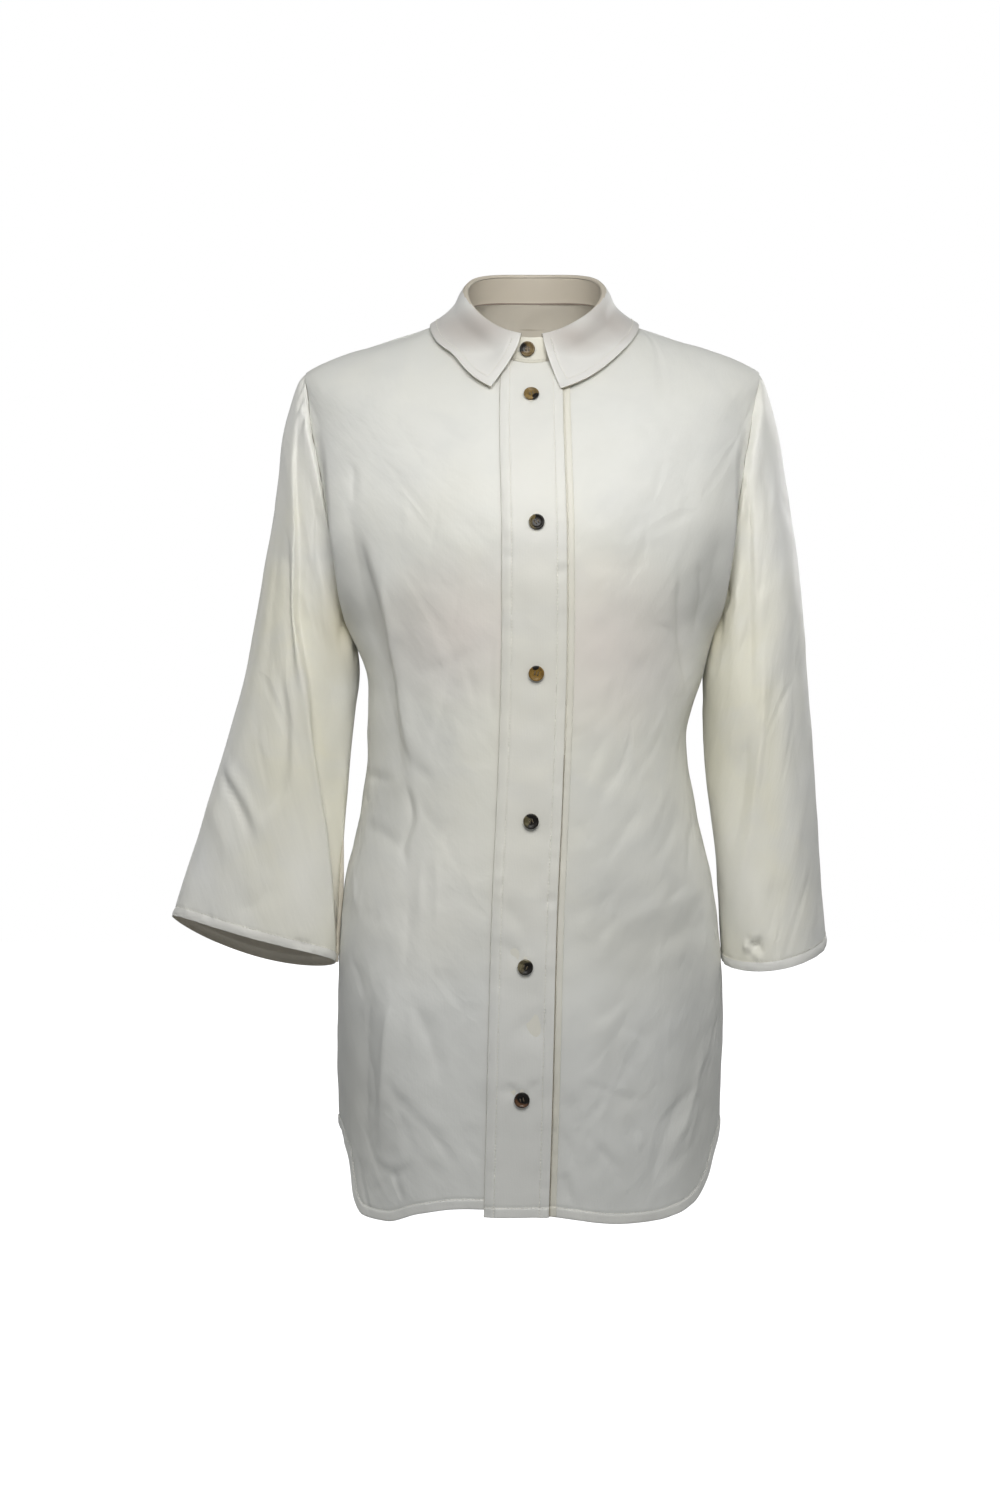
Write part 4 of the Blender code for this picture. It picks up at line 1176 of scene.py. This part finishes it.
# %% Bands
EDGE_STEPS = np.array(
    [0, 3.5, 8, 15, 26, 42, 58, 69, 75, 80, 85, 92, 106, 128, 155, 185, 220]) / 1e4
EDGE_LINE = 0.0080              # the stitches, in from each edge


def band_columns(low, high, more=()):
    steps = EDGE_STEPS[EDGE_STEPS < (high - low) / 2 - 0.001]
    return np.sort(np.concatenate([low + steps, [(low + high) / 2], high - steps, more]))


def make_band(name, solid, low, high, stand_off, folds, seed, finish, more=()):
    """stand_off gives how far the band's underside is off the front, at each reach and level."""
    reach = band_columns(low, high, more)
    bottom = float(smooth(HEMS[:, 0], HEMS[:, 1], BAND_HALF / SIDE_REACH))
    rows = np.linspace(bottom + 0.0155, NECKLINE - 0.0025, 300)
    rows = np.concatenate([bottom + HEM_STEPS, rows])
    across, level = np.meshgrid(reach, rows)
    share = across / half_length(level, FRONT)
    points, normals = section(level, share, FRONT, True), outward(level, share, FRONT)
    inside = np.minimum(across - low, high - across)
    push = stand_off(across, level) + BAND_WALL + front_calm(across, level) * calm_at_neck(level)
    push -= 0.00045 * bell(inside, 0.0007) + 0.00035 * bell(inside - EDGE_LINE, 0.0007)
    pucker = ripple(level, across * 0.15, seed, 0.011, 0.00028)
    pucker = pucker * (0.5 + 0.5 * np.sin(level * 23 + seed))
    push += pucker * (1 - ease((inside - 0.007) / 0.004)) * ease(inside / 0.002)
    push += folded(across, level, folds) + 0.8 * hem_turn(level - bottom, across, seed + 1)
    points = points + push[..., None] * normals
    # on the under band, a narrow strip by the top band's edge is in painted shadow, wider lower
    # down
    if more:
        gap = np.where(level > -0.37, 0.0002, 0.0009)
        apart = (across > BAND_HALF - 0.0036) & (across < BAND_HALF + gap)
        other = gap_shadow_satin
    else:
        apart, other = level - bottom < HEM_DEPTH + 0.0001, hem_satin
    lay_cloth(
        name, solid, points, np.stack([across, level], axis=-1), normals, finish,
        BAND_CLOTH_WALL, apart=apart, finish=other, edge=edge_satin)
    lines = [int(np.abs(reach - at).argmin()) for at in (low + EDGE_LINE, high - EDGE_LINE)]
    turned = int(np.abs(rows - bottom - HEM_DEPTH).argmin())
    runs = [(points[:, k], normals[:, k]) for k in lines]
    return points, runs + [(points[turned], normals[turned])]


PROUD = SEAM + BAND_WALL + SEAM


def over_the_other(reach, level):
    """The top band steps up over the one below, and its free edge stands off it lower down."""
    climb = 0.0006 + (PROUD - SEAM - 0.0006) * ease((reach + BAND_HALF - 0.0002) / 0.0058)
    free = ease((reach - 0.010) / 0.016) * ease((-level - 0.340) / 0.10)
    return SEAM + climb + free * (0.0019 + 0.0006 * np.sin(level * 26))


def under_the_edge(reach, level):
    """The under band dips a little where the top band's edge presses on it."""
    return SEAM - 0.0008 * bell(reach - BAND_HALF - 0.0004, 0.0007)


close_columns = tuple(BAND_HALF + np.array([-18, -8, 1, 4, 8, 11, 16]) / 1e4)
button_band, button_band_runs = make_band(
    "button_band", "placket_left", BAND_LAP - BAND_HALF + 2 * SEAM, UNDER_BAND_EDGE,
    under_the_edge, (), 61, under_band_satin, close_columns)
BUTTONHOLE_BAND_FOLDS = drawn("""
    16 80 70 10  -17 485  -4 507  8 526
    16 80 90 10  9 548  13 578  15 612
    13 30 40 45  -10 524  -4 532  0 540
    12 30 40 45  -10 632  -4 640  0 646
    11 30 40 45  14 630  8 640  4 648
    7 80 100 25  -12 230  -10 262  -12 292
    8 100 80 25  8 330  10 362  8 398
    8 80 100 25  -10 660  -6 690  -10 722
    7 50 70 25  12 456  6 476  -2 486
    # the cloth dips above the buttons that pull at it
    15 70 90 10  -22 519  -6 526  12 522
    12 100 100 5  -4 580  10 589  22 586
    10 60 80 10  -22 634  -10 640  6 638
""")
buttonhole_band, buttonhole_band_runs = make_band(
    "buttonhole_band", "placket_right", -BAND_HALF, BAND_HALF,
    over_the_other, BUTTONHOLE_BAND_FOLDS, 63, band_satin)
print("bands, width, length and area:", told(button_band, buttonhole_band))

# %% [markdown]
# ## The stand and the collar
# A shirt collar is two pieces: a stand that rises from the neckline, and a leaf sewn to the
# top of it, which turns over and falls outside. The leaf's outer edge is longer than its
# seam, which is why it lies on the shoulders and its points swing forward. It is rounded at
# the turn, a little hollow below it, and its edge flares.

# %% Neck
NECK_BACK = half_length(NECKLINE, BACK)
NECK_HALF = half_length(NECKLINE, FRONT) + NECK_BACK
STAND_WALL, LEAF_WALL, LEAF_LINE = 0.0013, 0.0014, 0.0078
# the way round, then the level of the leaf's edge and how far off the shirt it is
LEAF = read_table("""
    0 -65 4
    300 -63.5 4
    500 -61 3.5
    750 -65.5 4.5
    900 -72 5.8
    1000 -77.2 6.8
""")


def neck_frame(way):
    """Points on the neckline and the ways out: 0 at the back, 1 and -1 at the centre front."""
    side, run = np.where(way < 0, -1, 1), np.abs(way) * NECK_HALF
    at_back = section(NECKLINE + 0 * way, side * np.minimum(run, NECK_BACK), BACK)
    at_front = section(NECKLINE + 0 * way, side * (NECK_HALF - run), FRONT)
    points = np.where((run <= NECK_BACK)[:, None], at_back, at_front)
    along = np.gradient(points, axis=0)
    return points, unit(np.stack([-along[:, 1], along[:, 0], 0 * way], axis=-1))


def stand_form(way):
    points, out = neck_frame(way)
    over = (BAND_WALL + SEAM) * ease((-way - 0.86) / 0.07)[:, None]
    rise = STAND_BACK + (STAND_FRONT - STAND_BACK) * ease(np.abs(way))[:, None]
    lean = STAND_LEAN * (1 - np.clip(np.abs(way), 0, 1)[:, None] ** 4)
    bottom = points + CURVED_SEAM * UP + over * out
    return bottom, bottom + rise * UP - lean * out, out


def make_stand():
    end, quarter = 1 + STAND_OVERLAP / NECK_HALF, math.pi / 2 * 0.92
    way = end * np.sin(np.linspace(-1, 1, 241) * quarter) / np.sin(quarter)
    bottom, top, out = stand_form(way)
    up = np.concatenate([[0, 0.03, 0.07, 0.11, 0.15], np.linspace(0.2, 1, 12)])[:, None]
    run = np.abs(way) * NECK_HALF
    rounded = 1 - 0.30 * ease(1 - (end * NECK_HALF - run) / 0.006) ** 2
    foot = 0.0014 * UP
    rise = up[..., None] * (top - bottom + foot)[None] * rounded[None, :, None]
    inside = up * 0.021
    push = 0.0004 - 0.0004 * bell(inside, 0.0006) - 0.0003 * bell(inside - 0.0016, 0.0005)
    push = push + ripple(way[None] * NECK_HALF, inside, 71, 0.035, 0.00018)
    points = (bottom - foot)[None] + rise + push[..., None] * out[None]
    cut = np.stack(np.broadcast_arrays(way[None] * NECK_HALF, inside), axis=-1)
    # the foot of the stand's inside and its edges are in painted shade, and its inside is the wrong
    # side's colour darkened as painted shade
    lay_cloth(
        "neck_stand", "collar_stand", points, cut,
        np.broadcast_to(out, points.shape), under_band_satin, STAND_WALL, inner=wrong_side_and_painted_shade,
        apart=np.broadcast_to(up < 0.08, points.shape[:2]), finish=under_band_satin,
        under=seam_satin, edge=seam_satin)
    return points, (points[3], out)


neck_stand, stand_run = make_stand()
print("stand, length, height and area:", told(neck_stand))


# %% Collar leaf
def leaf_edge(way, end):
    """The leaf's outer edge, lying on the trunk."""
    side, part, seam = np.where(way < 0, -1, 1), np.abs(way) / end, NECK_BACK / NECK_HALF / end
    level, clear = smooth(LEAF[:, 0], LEAF[:, 1:], part).T
    level = level + np.where(way < 0, 0.0040, 0.0006) * bell(part - 0.84, 0.10)
    tip = np.where(way < 0, 0.0330, 0.0240) / half_length(level, FRONT)
    at_back = np.clip(part / seam, 0, 1)
    at_front = 1 - (1 - tip) * np.clip((part - seam) / (1 - seam), 0, 1)
    found = [
        section(level, side * s, f, True) + clear[:, None] * outward(level, side * s, f)
        for s, f in ((at_back, BACK), (at_front, FRONT))
    ]
    return np.where((part < seam)[:, None], *found)


def make_collar():
    end = 1 - COLLAR_START / NECK_HALF
    t = np.linspace(-1, 1, 261)
    way = end * (1.3 * t - 0.3 * t**3)
    _, top, out = stand_form(way)
    edge = leaf_edge(way, end)
    foot = top + (CURVED_SEAM - 0.0008) * UP
    bend = [(-1.0, 0.0), (-0.85, 1.3), (0.7, 2.1), (2.4, 0.8)]
    turn = smooth(range(4), bend, np.linspace(0, 3, 11))
    crest = np.stack([foot + BAND_WALL * (a * out + u * UP) for a, u in turn[:-1]])
    start = foot + BAND_WALL * (2.4 * out + 0.8 * UP)
    fall = edge - start
    size = np.linalg.norm(fall, axis=1, keepdims=True)
    first = start + 0.33 * size * unit(0.62 * out - 0.78 * UP)
    last = edge - 0.33 * size * unit(unit(fall) * 0.7 + out * 0.45)
    down = 1 - (1 - np.linspace(0, 1, 34)) ** 1.3
    leaf = bezier((start, first, last, edge), np.broadcast_to(down, (len(way), len(down))))
    points = np.concatenate([crest, leaf.transpose(1, 0, 2)])
    normals = grid_normals(points)
    normals *= np.sign((normals[-1] * out).sum(1).mean())
    drop, across = lengths(points, 0), lengths(points, 1)
    drop_left = drop[-1] - drop
    side_left = np.minimum(across, across[:, -1:] - across)
    inside = np.minimum(drop_left, np.where(drop > 0.012, side_left, 1.0))
    push = -0.0004 * bell(inside, 0.0006) - 0.00045 * bell(inside - LEAF_LINE, 0.0007)
    middle = way[None] * NECK_HALF + 0 * drop
    fallen = drop / drop[-1] - 0.50
    hollow = bell(fallen, np.where(fallen < 0, 0.17, 0.27))
    hollow = hollow * (0.35 + 0.65 * bell(np.abs(way) - 0.74, 0.20))
    push -= 0.0060 * hollow * ease((side_left + 0.002) / 0.026)
    push += ripple(middle, drop, 72, 0.045, 0.00035) * ease(drop / 0.015)
    push += ripple(middle, drop * 0.2, 73, 0.012, 0.00018) * np.exp(-drop_left / 0.006)
    points = points + push[..., None] * normals
    # the turn's inner rows, more of them at the back, are in the darker wrong side: painted shade
    shaded_turn = np.arange(len(points))[:, None] < 7.5 + 4 * ease((0.72 - np.abs(way)) / 0.35)
    lay_cloth(
        "turned_collar", "collar", points, np.stack([middle, -drop], axis=-1),
        normals, leaf_satin, LEAF_WALL, inner=wrong_side_and_painted_shade, apart=shaded_turn,
        finish=wrong_side_and_painted_shade, edge=edge_satin)
    row = int(np.abs(drop_left[:, 130] - LEAF_LINE).argmin())
    column = int(np.abs(across[-10] - LEAF_LINE).argmin())
    spots = [(row, slice(column, -column))]
    spots += [(slice(row, 11, -1), k) for k in (column, -1 - column)]
    return points, [(points[spot], normals[spot]) for spot in spots]


turned_collar, collar_runs = make_collar()
print("collar, length, depth and area:", told(turned_collar))

# %% [markdown]
# ## Rounded edges on the doubled pieces
# A folded edge is never sharp. A Bevel modifier after the Solidify rounds the edges of the
# bands, stand and collar, and leaves their surfaces alone, because it only takes edges that
# turn more than 50 degrees.

# %% Bevels
# the rounded edges are in slot 4: painted shade on the bands and the collar, and the painted seam
# shade on the stand
for doubled in ("button_band", "buttonhole_band", "neck_stand", "turned_collar"):
    edge = bpy.data.objects[doubled].modifiers.new("folded_edge", "BEVEL")
    edge.width, edge.segments, edge.limit_method = 0.0004, 2, "ANGLE"
    edge.angle_limit, edge.material = math.radians(50), 4

# %% [markdown]
# ## The rows of stitches
# Stitches this small are only a few faces each: a small ball pulled out along the row. One
# helper walks along a line on the cloth and leaves a stitch every 2.7 mm, pressed into it.

# %% Sew
PITCH, STITCH_LENGTH, STITCH_THICK = 0.0027, 0.0020, 0.00034


def sew(name, runs):
    bm = bmesh.new()
    for points, normals in runs:
        run = run_along(points)
        centre = np.arange(PITCH / 2, run[-1], PITCH)

        def read(values, at):
            return np.stack([np.interp(at, run, values[:, k]) for k in range(3)], axis=-1)

        ahead = unit(read(points, centre + 0.001) - read(points, centre - 0.001))
        place, up = read(points, centre), unit(read(normals, centre))
        for p, a, b, n in zip(place, ahead, unit(np.cross(up, ahead)), up):
            axes = np.column_stack([
                a * STITCH_LENGTH / 2, b * STITCH_THICK, n * STITCH_THICK * 0.8, p + n * 0.00012])
            bmesh.ops.create_icosphere(
                bm, subdivisions=1, radius=1, matrix=Matrix([*axes.tolist(), [0, 0, 0, 1]]))
    return worn(thing(name, bm, [cream_thread]))


# each sheet, its points and its stitches; how it is held, what it rests on, and its slot
SHEETS = (
    ("left_front", left_front, "left_hem", [left_hem], "hung", "button_band", "cloth"),
    ("right_front", right_front, "right_hem", [right_hem], "hung", "buttonhole_band", "cloth"),
    ("back_panel", back_panel, "back_hem", [back_hem], "hung", "neck_stand", "cloth"),
    ("left_sleeve", left_sleeve, "left_cuff", [left_cuff],
     "hung", "left_front back_panel", "cloth"),
    ("right_sleeve", right_sleeve, "right_cuff", [right_cuff],
     "hung", "right_front back_panel", "cloth"),
    ("button_band", button_band, "button_band", button_band_runs,
     "hung", "left_front", "band_cloth"),
    ("buttonhole_band", buttonhole_band, "buttonhole_band", buttonhole_band_runs,
     "hung", "right_front", "band_cloth"),
    ("neck_stand", neck_stand, "stand", [stand_run], "folded", "back_panel", "band_cloth"),
    ("turned_collar", turned_collar, "collar", collar_runs, "folded", "neck_stand", "band_cloth"),
)
sewn = {
    sheet: [sew(row + "_stitches", runs)] for sheet, _, row, runs, _, _, slot in SHEETS}
print("stitch faces:", sum(len(made[0].data.polygons) for made in sewn.values()))

# %% [markdown]
# ## The buttons
# Seven small four-hole buttons with a rounded rim and a dished middle, cut from something
# that looks like tortoiseshell: amber and brown, with a nearly black side that lies
# differently on each one. The blank is spun from its profile, the holes are cut with a
# Boolean, and each button's material gets its own colours, dark side and place in the pattern.

# %% Tortoiseshell
RADIUS, THICK = 0.00625, 0.0028
NEARLY_BLACK = (0.012, 0.010, 0.008)
shell, shell_in, shell_out = new_group(
    "tortoiseshell",
    [("Place", "NodeSocketVector", None), ("Amber", "NodeSocketColor", (0.30, 0.17, 0.05, 1)),
     ("Brown", "NodeSocketColor", (0.10, 0.055, 0.02, 1)), ("Dark", "NodeSocketFloat", 0.5)],
    [("Colour", "NodeSocketColor"), ("Gloss", "NodeSocketFloat")],
)
place, amber, brown, dark = (shell_in.outputs[k] for k in ("Place", "Amber", "Brown", "Dark"))
clouds = noise(shell, place, 170.0, 2.0, Distortion=0.8).outputs["Fac"]
patches = noise(shell, place, 105.0, Distortion=0.5).outputs["Fac"]
browned = blended(shell, stepped(shell, clouds, 0.42, 0.60), amber, brown)
darkness = stepped(shell, scaled(shell, patches, 1.0, dark), 0.96, 1.08)
shell.links.new(blended(shell, darkness, browned, NEARLY_BLACK), shell_out.inputs["Colour"])
shell.links.new(scaled(shell, clouds, 0.12, 0.24), shell_out.inputs["Gloss"])
print("group:", shell.name)


def tortoiseshell(name, middle, amber, brown, dark, shift, dark_side):
    """dark_side is the middle of the button's dark side and its reach, in radii."""
    made, tree, shader = plain(
        name, {"Specular IOR Level": 0.25, "Coat Weight": 0.12, "Coat Roughness": 0.12})
    place = node(tree, "TexCoord").outputs["Object"]
    moved = node(tree, "Mapping", {"Vector": place, "Location": shift})
    x, z, reach = (RADIUS * value for value in dark_side)
    row = [1000 * v for v in (*(middle + Vector((x, 0, z))), reach, reach, reach)]
    darker = scaled(tree, patch(tree, place, row), 0.6, dark)
    pattern = node(tree, "Group", {
        "Place": moved.outputs[0], "Amber": (*amber, 1), "Brown": (*brown, 1), "Dark": darker,
    }, node_tree=shell)
    tree.links.new(pattern.outputs["Colour"], shader.inputs["Base Color"])
    tree.links.new(pattern.outputs["Gloss"], shader.inputs["Roughness"])
    return made


# %% Button blank
def button_blank():
    profile = (
        (0, 0), (0.80, 0), (0.95, 0.12), (1, 0.35), (1, 0.70), (0.97, 0.88), (0.91, 0.98),
        (0.84, 1), (0.78, 0.95), (0.70, 0.76), (0.60, 0.66), (0.30, 0.62), (0, 0.61))
    bm = bmesh.new()
    verts = [bm.verts.new((x * RADIUS, 0, z * THICK)) for x, z in profile]
    edges = [bm.edges.new(pair) for pair in zip(verts, verts[1:])]
    bmesh.ops.spin(
        bm, geom=verts + edges, cent=(0, 0, 0), axis=(0, 0, 1), angle=math.tau, steps=48,
        use_merge=True)
    bmesh.ops.remove_doubles(bm, verts=bm.verts[:], dist=1e-6)
    bmesh.ops.recalc_face_normals(bm, faces=bm.faces[:])
    drill = bmesh.new()
    for turn in (45, 135, 225, 315):
        place = Matrix.Rotation(math.radians(turn), 4, "Z")
        place = place @ Matrix.Translation((0.0018, 0, THICK / 2))
        bmesh.ops.create_cone(
            drill, cap_ends=True, segments=14, radius1=0.00062, radius2=0.00062,
            depth=3 * THICK, matrix=place)
    helpers = [thing("blank", bm, []), thing("drill", drill, [])]
    holes = helpers[0].modifiers.new("holes", "BOOLEAN")
    holes.operation, holes.object = "DIFFERENCE", helpers[1]
    graph = bpy.context.evaluated_depsgraph_get()
    mesh = bpy.data.meshes.new_from_object(helpers[0].evaluated_get(graph))
    for helper in helpers:
        bpy.data.objects.remove(helper)
    return mesh


blank = button_blank()
print("button faces:", len(blank.polygons))


# %% Button threads and buttonholes
def half_ring(bm, place, span, wire):
    """An arch of thread that comes up at one hole and goes down at the next."""
    before = set(bm.verts)
    made = bmesh.ops.create_circle(
        bm, segments=6, radius=wire, matrix=Matrix.Translation((span / 2, 0, 0)))["verts"]
    ring = list(dict.fromkeys(edge for vert in made for edge in vert.link_edges))
    bmesh.ops.spin(
        bm, geom=made + ring, cent=(0, 0, 0), axis=(0, 1, 0), angle=-math.pi, steps=6)
    arch = [vert for vert in bm.verts if vert not in before]
    bmesh.ops.scale(bm, vec=(1, 1, 0.55), verts=arch)
    bmesh.ops.transform(bm, matrix=place, verts=arch)


def tie(name, place):
    """Two bars of thread through the four holes, side by side."""
    bm = bmesh.new()
    for across in (-0.00127, 0.00127):
        for lean in (-0.00012, 0.00014):
            over = Matrix.Translation((across + lean, 0, THICK * 0.60))
            turned = Matrix.Rotation(math.pi / 2 + lean * 300, 4, "Z")
            half_ring(bm, place @ over @ turned, 0.00254, 0.00024)
    bmesh.ops.recalc_face_normals(bm, faces=bm.faces[:])
    return worn(thing(name, bm, [button_thread]))


def buttonhole(name, place, length=0.0170, width=0.0030):
    """A long narrow ring of close stitches, with a slit in it."""
    bm = bmesh.new()
    outer = bmesh.ops.create_circle(bm, segments=64, radius=width / 2)["verts"]
    for vert in outer:
        vert.co.y += math.copysign((length - width) / 2, vert.co.y)
    face = bmesh.ops.contextual_create(bm, geom=outer)["faces"]
    bmesh.ops.inset_region(bm, faces=face, thickness=0.00055, depth=0.00045)
    for vert in face[0].verts:
        vert.co.z += 0.00002
    bmesh.ops.inset_region(bm, faces=face, thickness=0.00045, depth=0.0)
    bmesh.ops.inset_region(bm, faces=face, thickness=0.00035, depth=-0.00040)
    bmesh.ops.transform(bm, matrix=place, verts=bm.verts[:])
    return worn(thing(name, bm, [cream_thread]))


# %% Place the buttons
# solid; amber and brown, in thousandths; how dark; the pattern's shift in thousandths; the
# dark side's place and reach in radii; and how far the button is turned, in degrees
BUTTON_ROWS = """
button_1     300 200  75  200 135  50  0.40  31  0 12   0.75 -0.75 0.90    8
button_2     190 145  60  130 100  40  0.42   0 17 44   0.60  0.75 1.10   30
button_3     270 160  38  180 105  25  0.38  52  8  0   0.00  1.05 0.90  -12
button_4     170 150  85  100  85  45  0.46  12 63 21   0.60 -0.50 1.05   20
button_5     200 175 105  120 100  55  0.45  73 11 38   0.85 -0.45 1.30  -25
button_6     140  70  35   60  34  20  0.48  24 35 71   0.40  0.45 1.20   15
button_neck  210 150  65  150 100  45  0.40  41 22  9  -0.95  0.20 1.30    5
"""
BUTTONS = {}
for row in BUTTON_ROWS.split("\n")[1:-1]:
    solid, *numbers = row.split()
    numbers = [float(number) for number in numbers]
    amber, brown, shift = (
        tuple(number / 1000 for number in numbers[first:first + 3]) for first in (0, 3, 7))
    BUTTONS[solid] = (amber, brown, numbers[6], shift, tuple(numbers[10:13])), numbers[13]


def facing_matrix(point, normal, turn):
    z = Vector(normal).normalized()
    x = Vector((0, 0, 1)).cross(z).normalized()
    basis = Matrix((x, z.cross(x), z)).transposed().to_4x4()
    return Matrix.Translation(point) @ basis @ Matrix.Rotation(math.radians(turn), 4, "Z")


def solid_middle(solid):
    low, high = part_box(solid)
    return (Vector(low) + Vector(high)) / 2


def place_button(solid, normal):
    """Puts a button where its solid is, tied on with thread."""
    look, turn = BUTTONS[solid]
    middle = solid_middle(solid)
    place = facing_matrix(middle - Vector(normal) * THICK / 2, normal, turn)
    bm = bmesh.new()
    bm.from_mesh(blank)
    bm.transform(place)
    name = solid.replace("button_", "shell_button_")
    made = thing(name, bm, [tortoiseshell(solid + "_shell", middle, *look)])
    made.data.set_sharp_from_angle(angle=math.radians(50))
    worn(made, solid)
    return tie(name + "_thread", place)


def on_band(height, reach):
    """A point on the finished band, with the way out of it."""
    column = int(np.abs(band_columns(-BAND_HALF, BAND_HALF) - reach).argmin())
    line = buttonhole_band[:, column]
    row = int(np.abs(line[:, 2] - height).argmin())
    rise = line[row + 4] - line[row - 4]
    return line[row], unit(np.array([0, -rise[2], rise[1]]))


ties = []
for count in range(1, 7):
    solid = "button_%d" % count
    middle = solid_middle(solid)
    off_centre = 0 if count == 1 else 0.002     # all but the top one sit a little to the left
    point, normal = on_band(middle.z, off_centre)
    ties.append(place_button(solid, normal))
    hole = Vector((middle.x, point[1], middle.z)) + Vector(normal) * 0.00005
    ties.append(buttonhole(solid + "_hole", facing_matrix(hole, normal, 0)))
print("buttons:", count)

# %% Neck button
bottom, top, out = stand_form(np.array([-0.004, 0.0, 0.004]) / NECK_HALF - (1 - 0.0035 / NECK_HALF))
rise = unit(top[1] - bottom[1])
neck_normal = unit(out[1] - (out[1] @ rise) * rise)
neck_tie = place_button("button_neck", neck_normal)
hole = solid_middle("button_neck") - Vector(neck_normal) * (THICK / 2 + 0.0005)
neck_hole = buttonhole("button_neck_hole", facing_matrix(hole, neck_normal, 90))
print("neck button faces", [round(x, 4) for x in neck_normal])

# %% [markdown]
# ## The cut of each piece
# For each sheet, the size it was cut to before it was sewn and filled out is worked out: its
# width, its length and its area, since none of them is a rectangle.

sewn["buttonhole_band"] += ties
sewn["neck_stand"] += [neck_tie, neck_hole]
for sheet, points, _, _, held, rests_on, _ in SHEETS:
    width, length, area = cut_size(points)

# %% Triangle count
graph = bpy.context.evaluated_depsgraph_get()
total = 0
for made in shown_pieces():
    mesh = made.evaluated_get(graph).to_mesh()
    mesh.calc_loop_triangles()
    total += len(mesh.loop_triangles)
    made.evaluated_get(graph).to_mesh_clear()
print("triangles in all:", total)
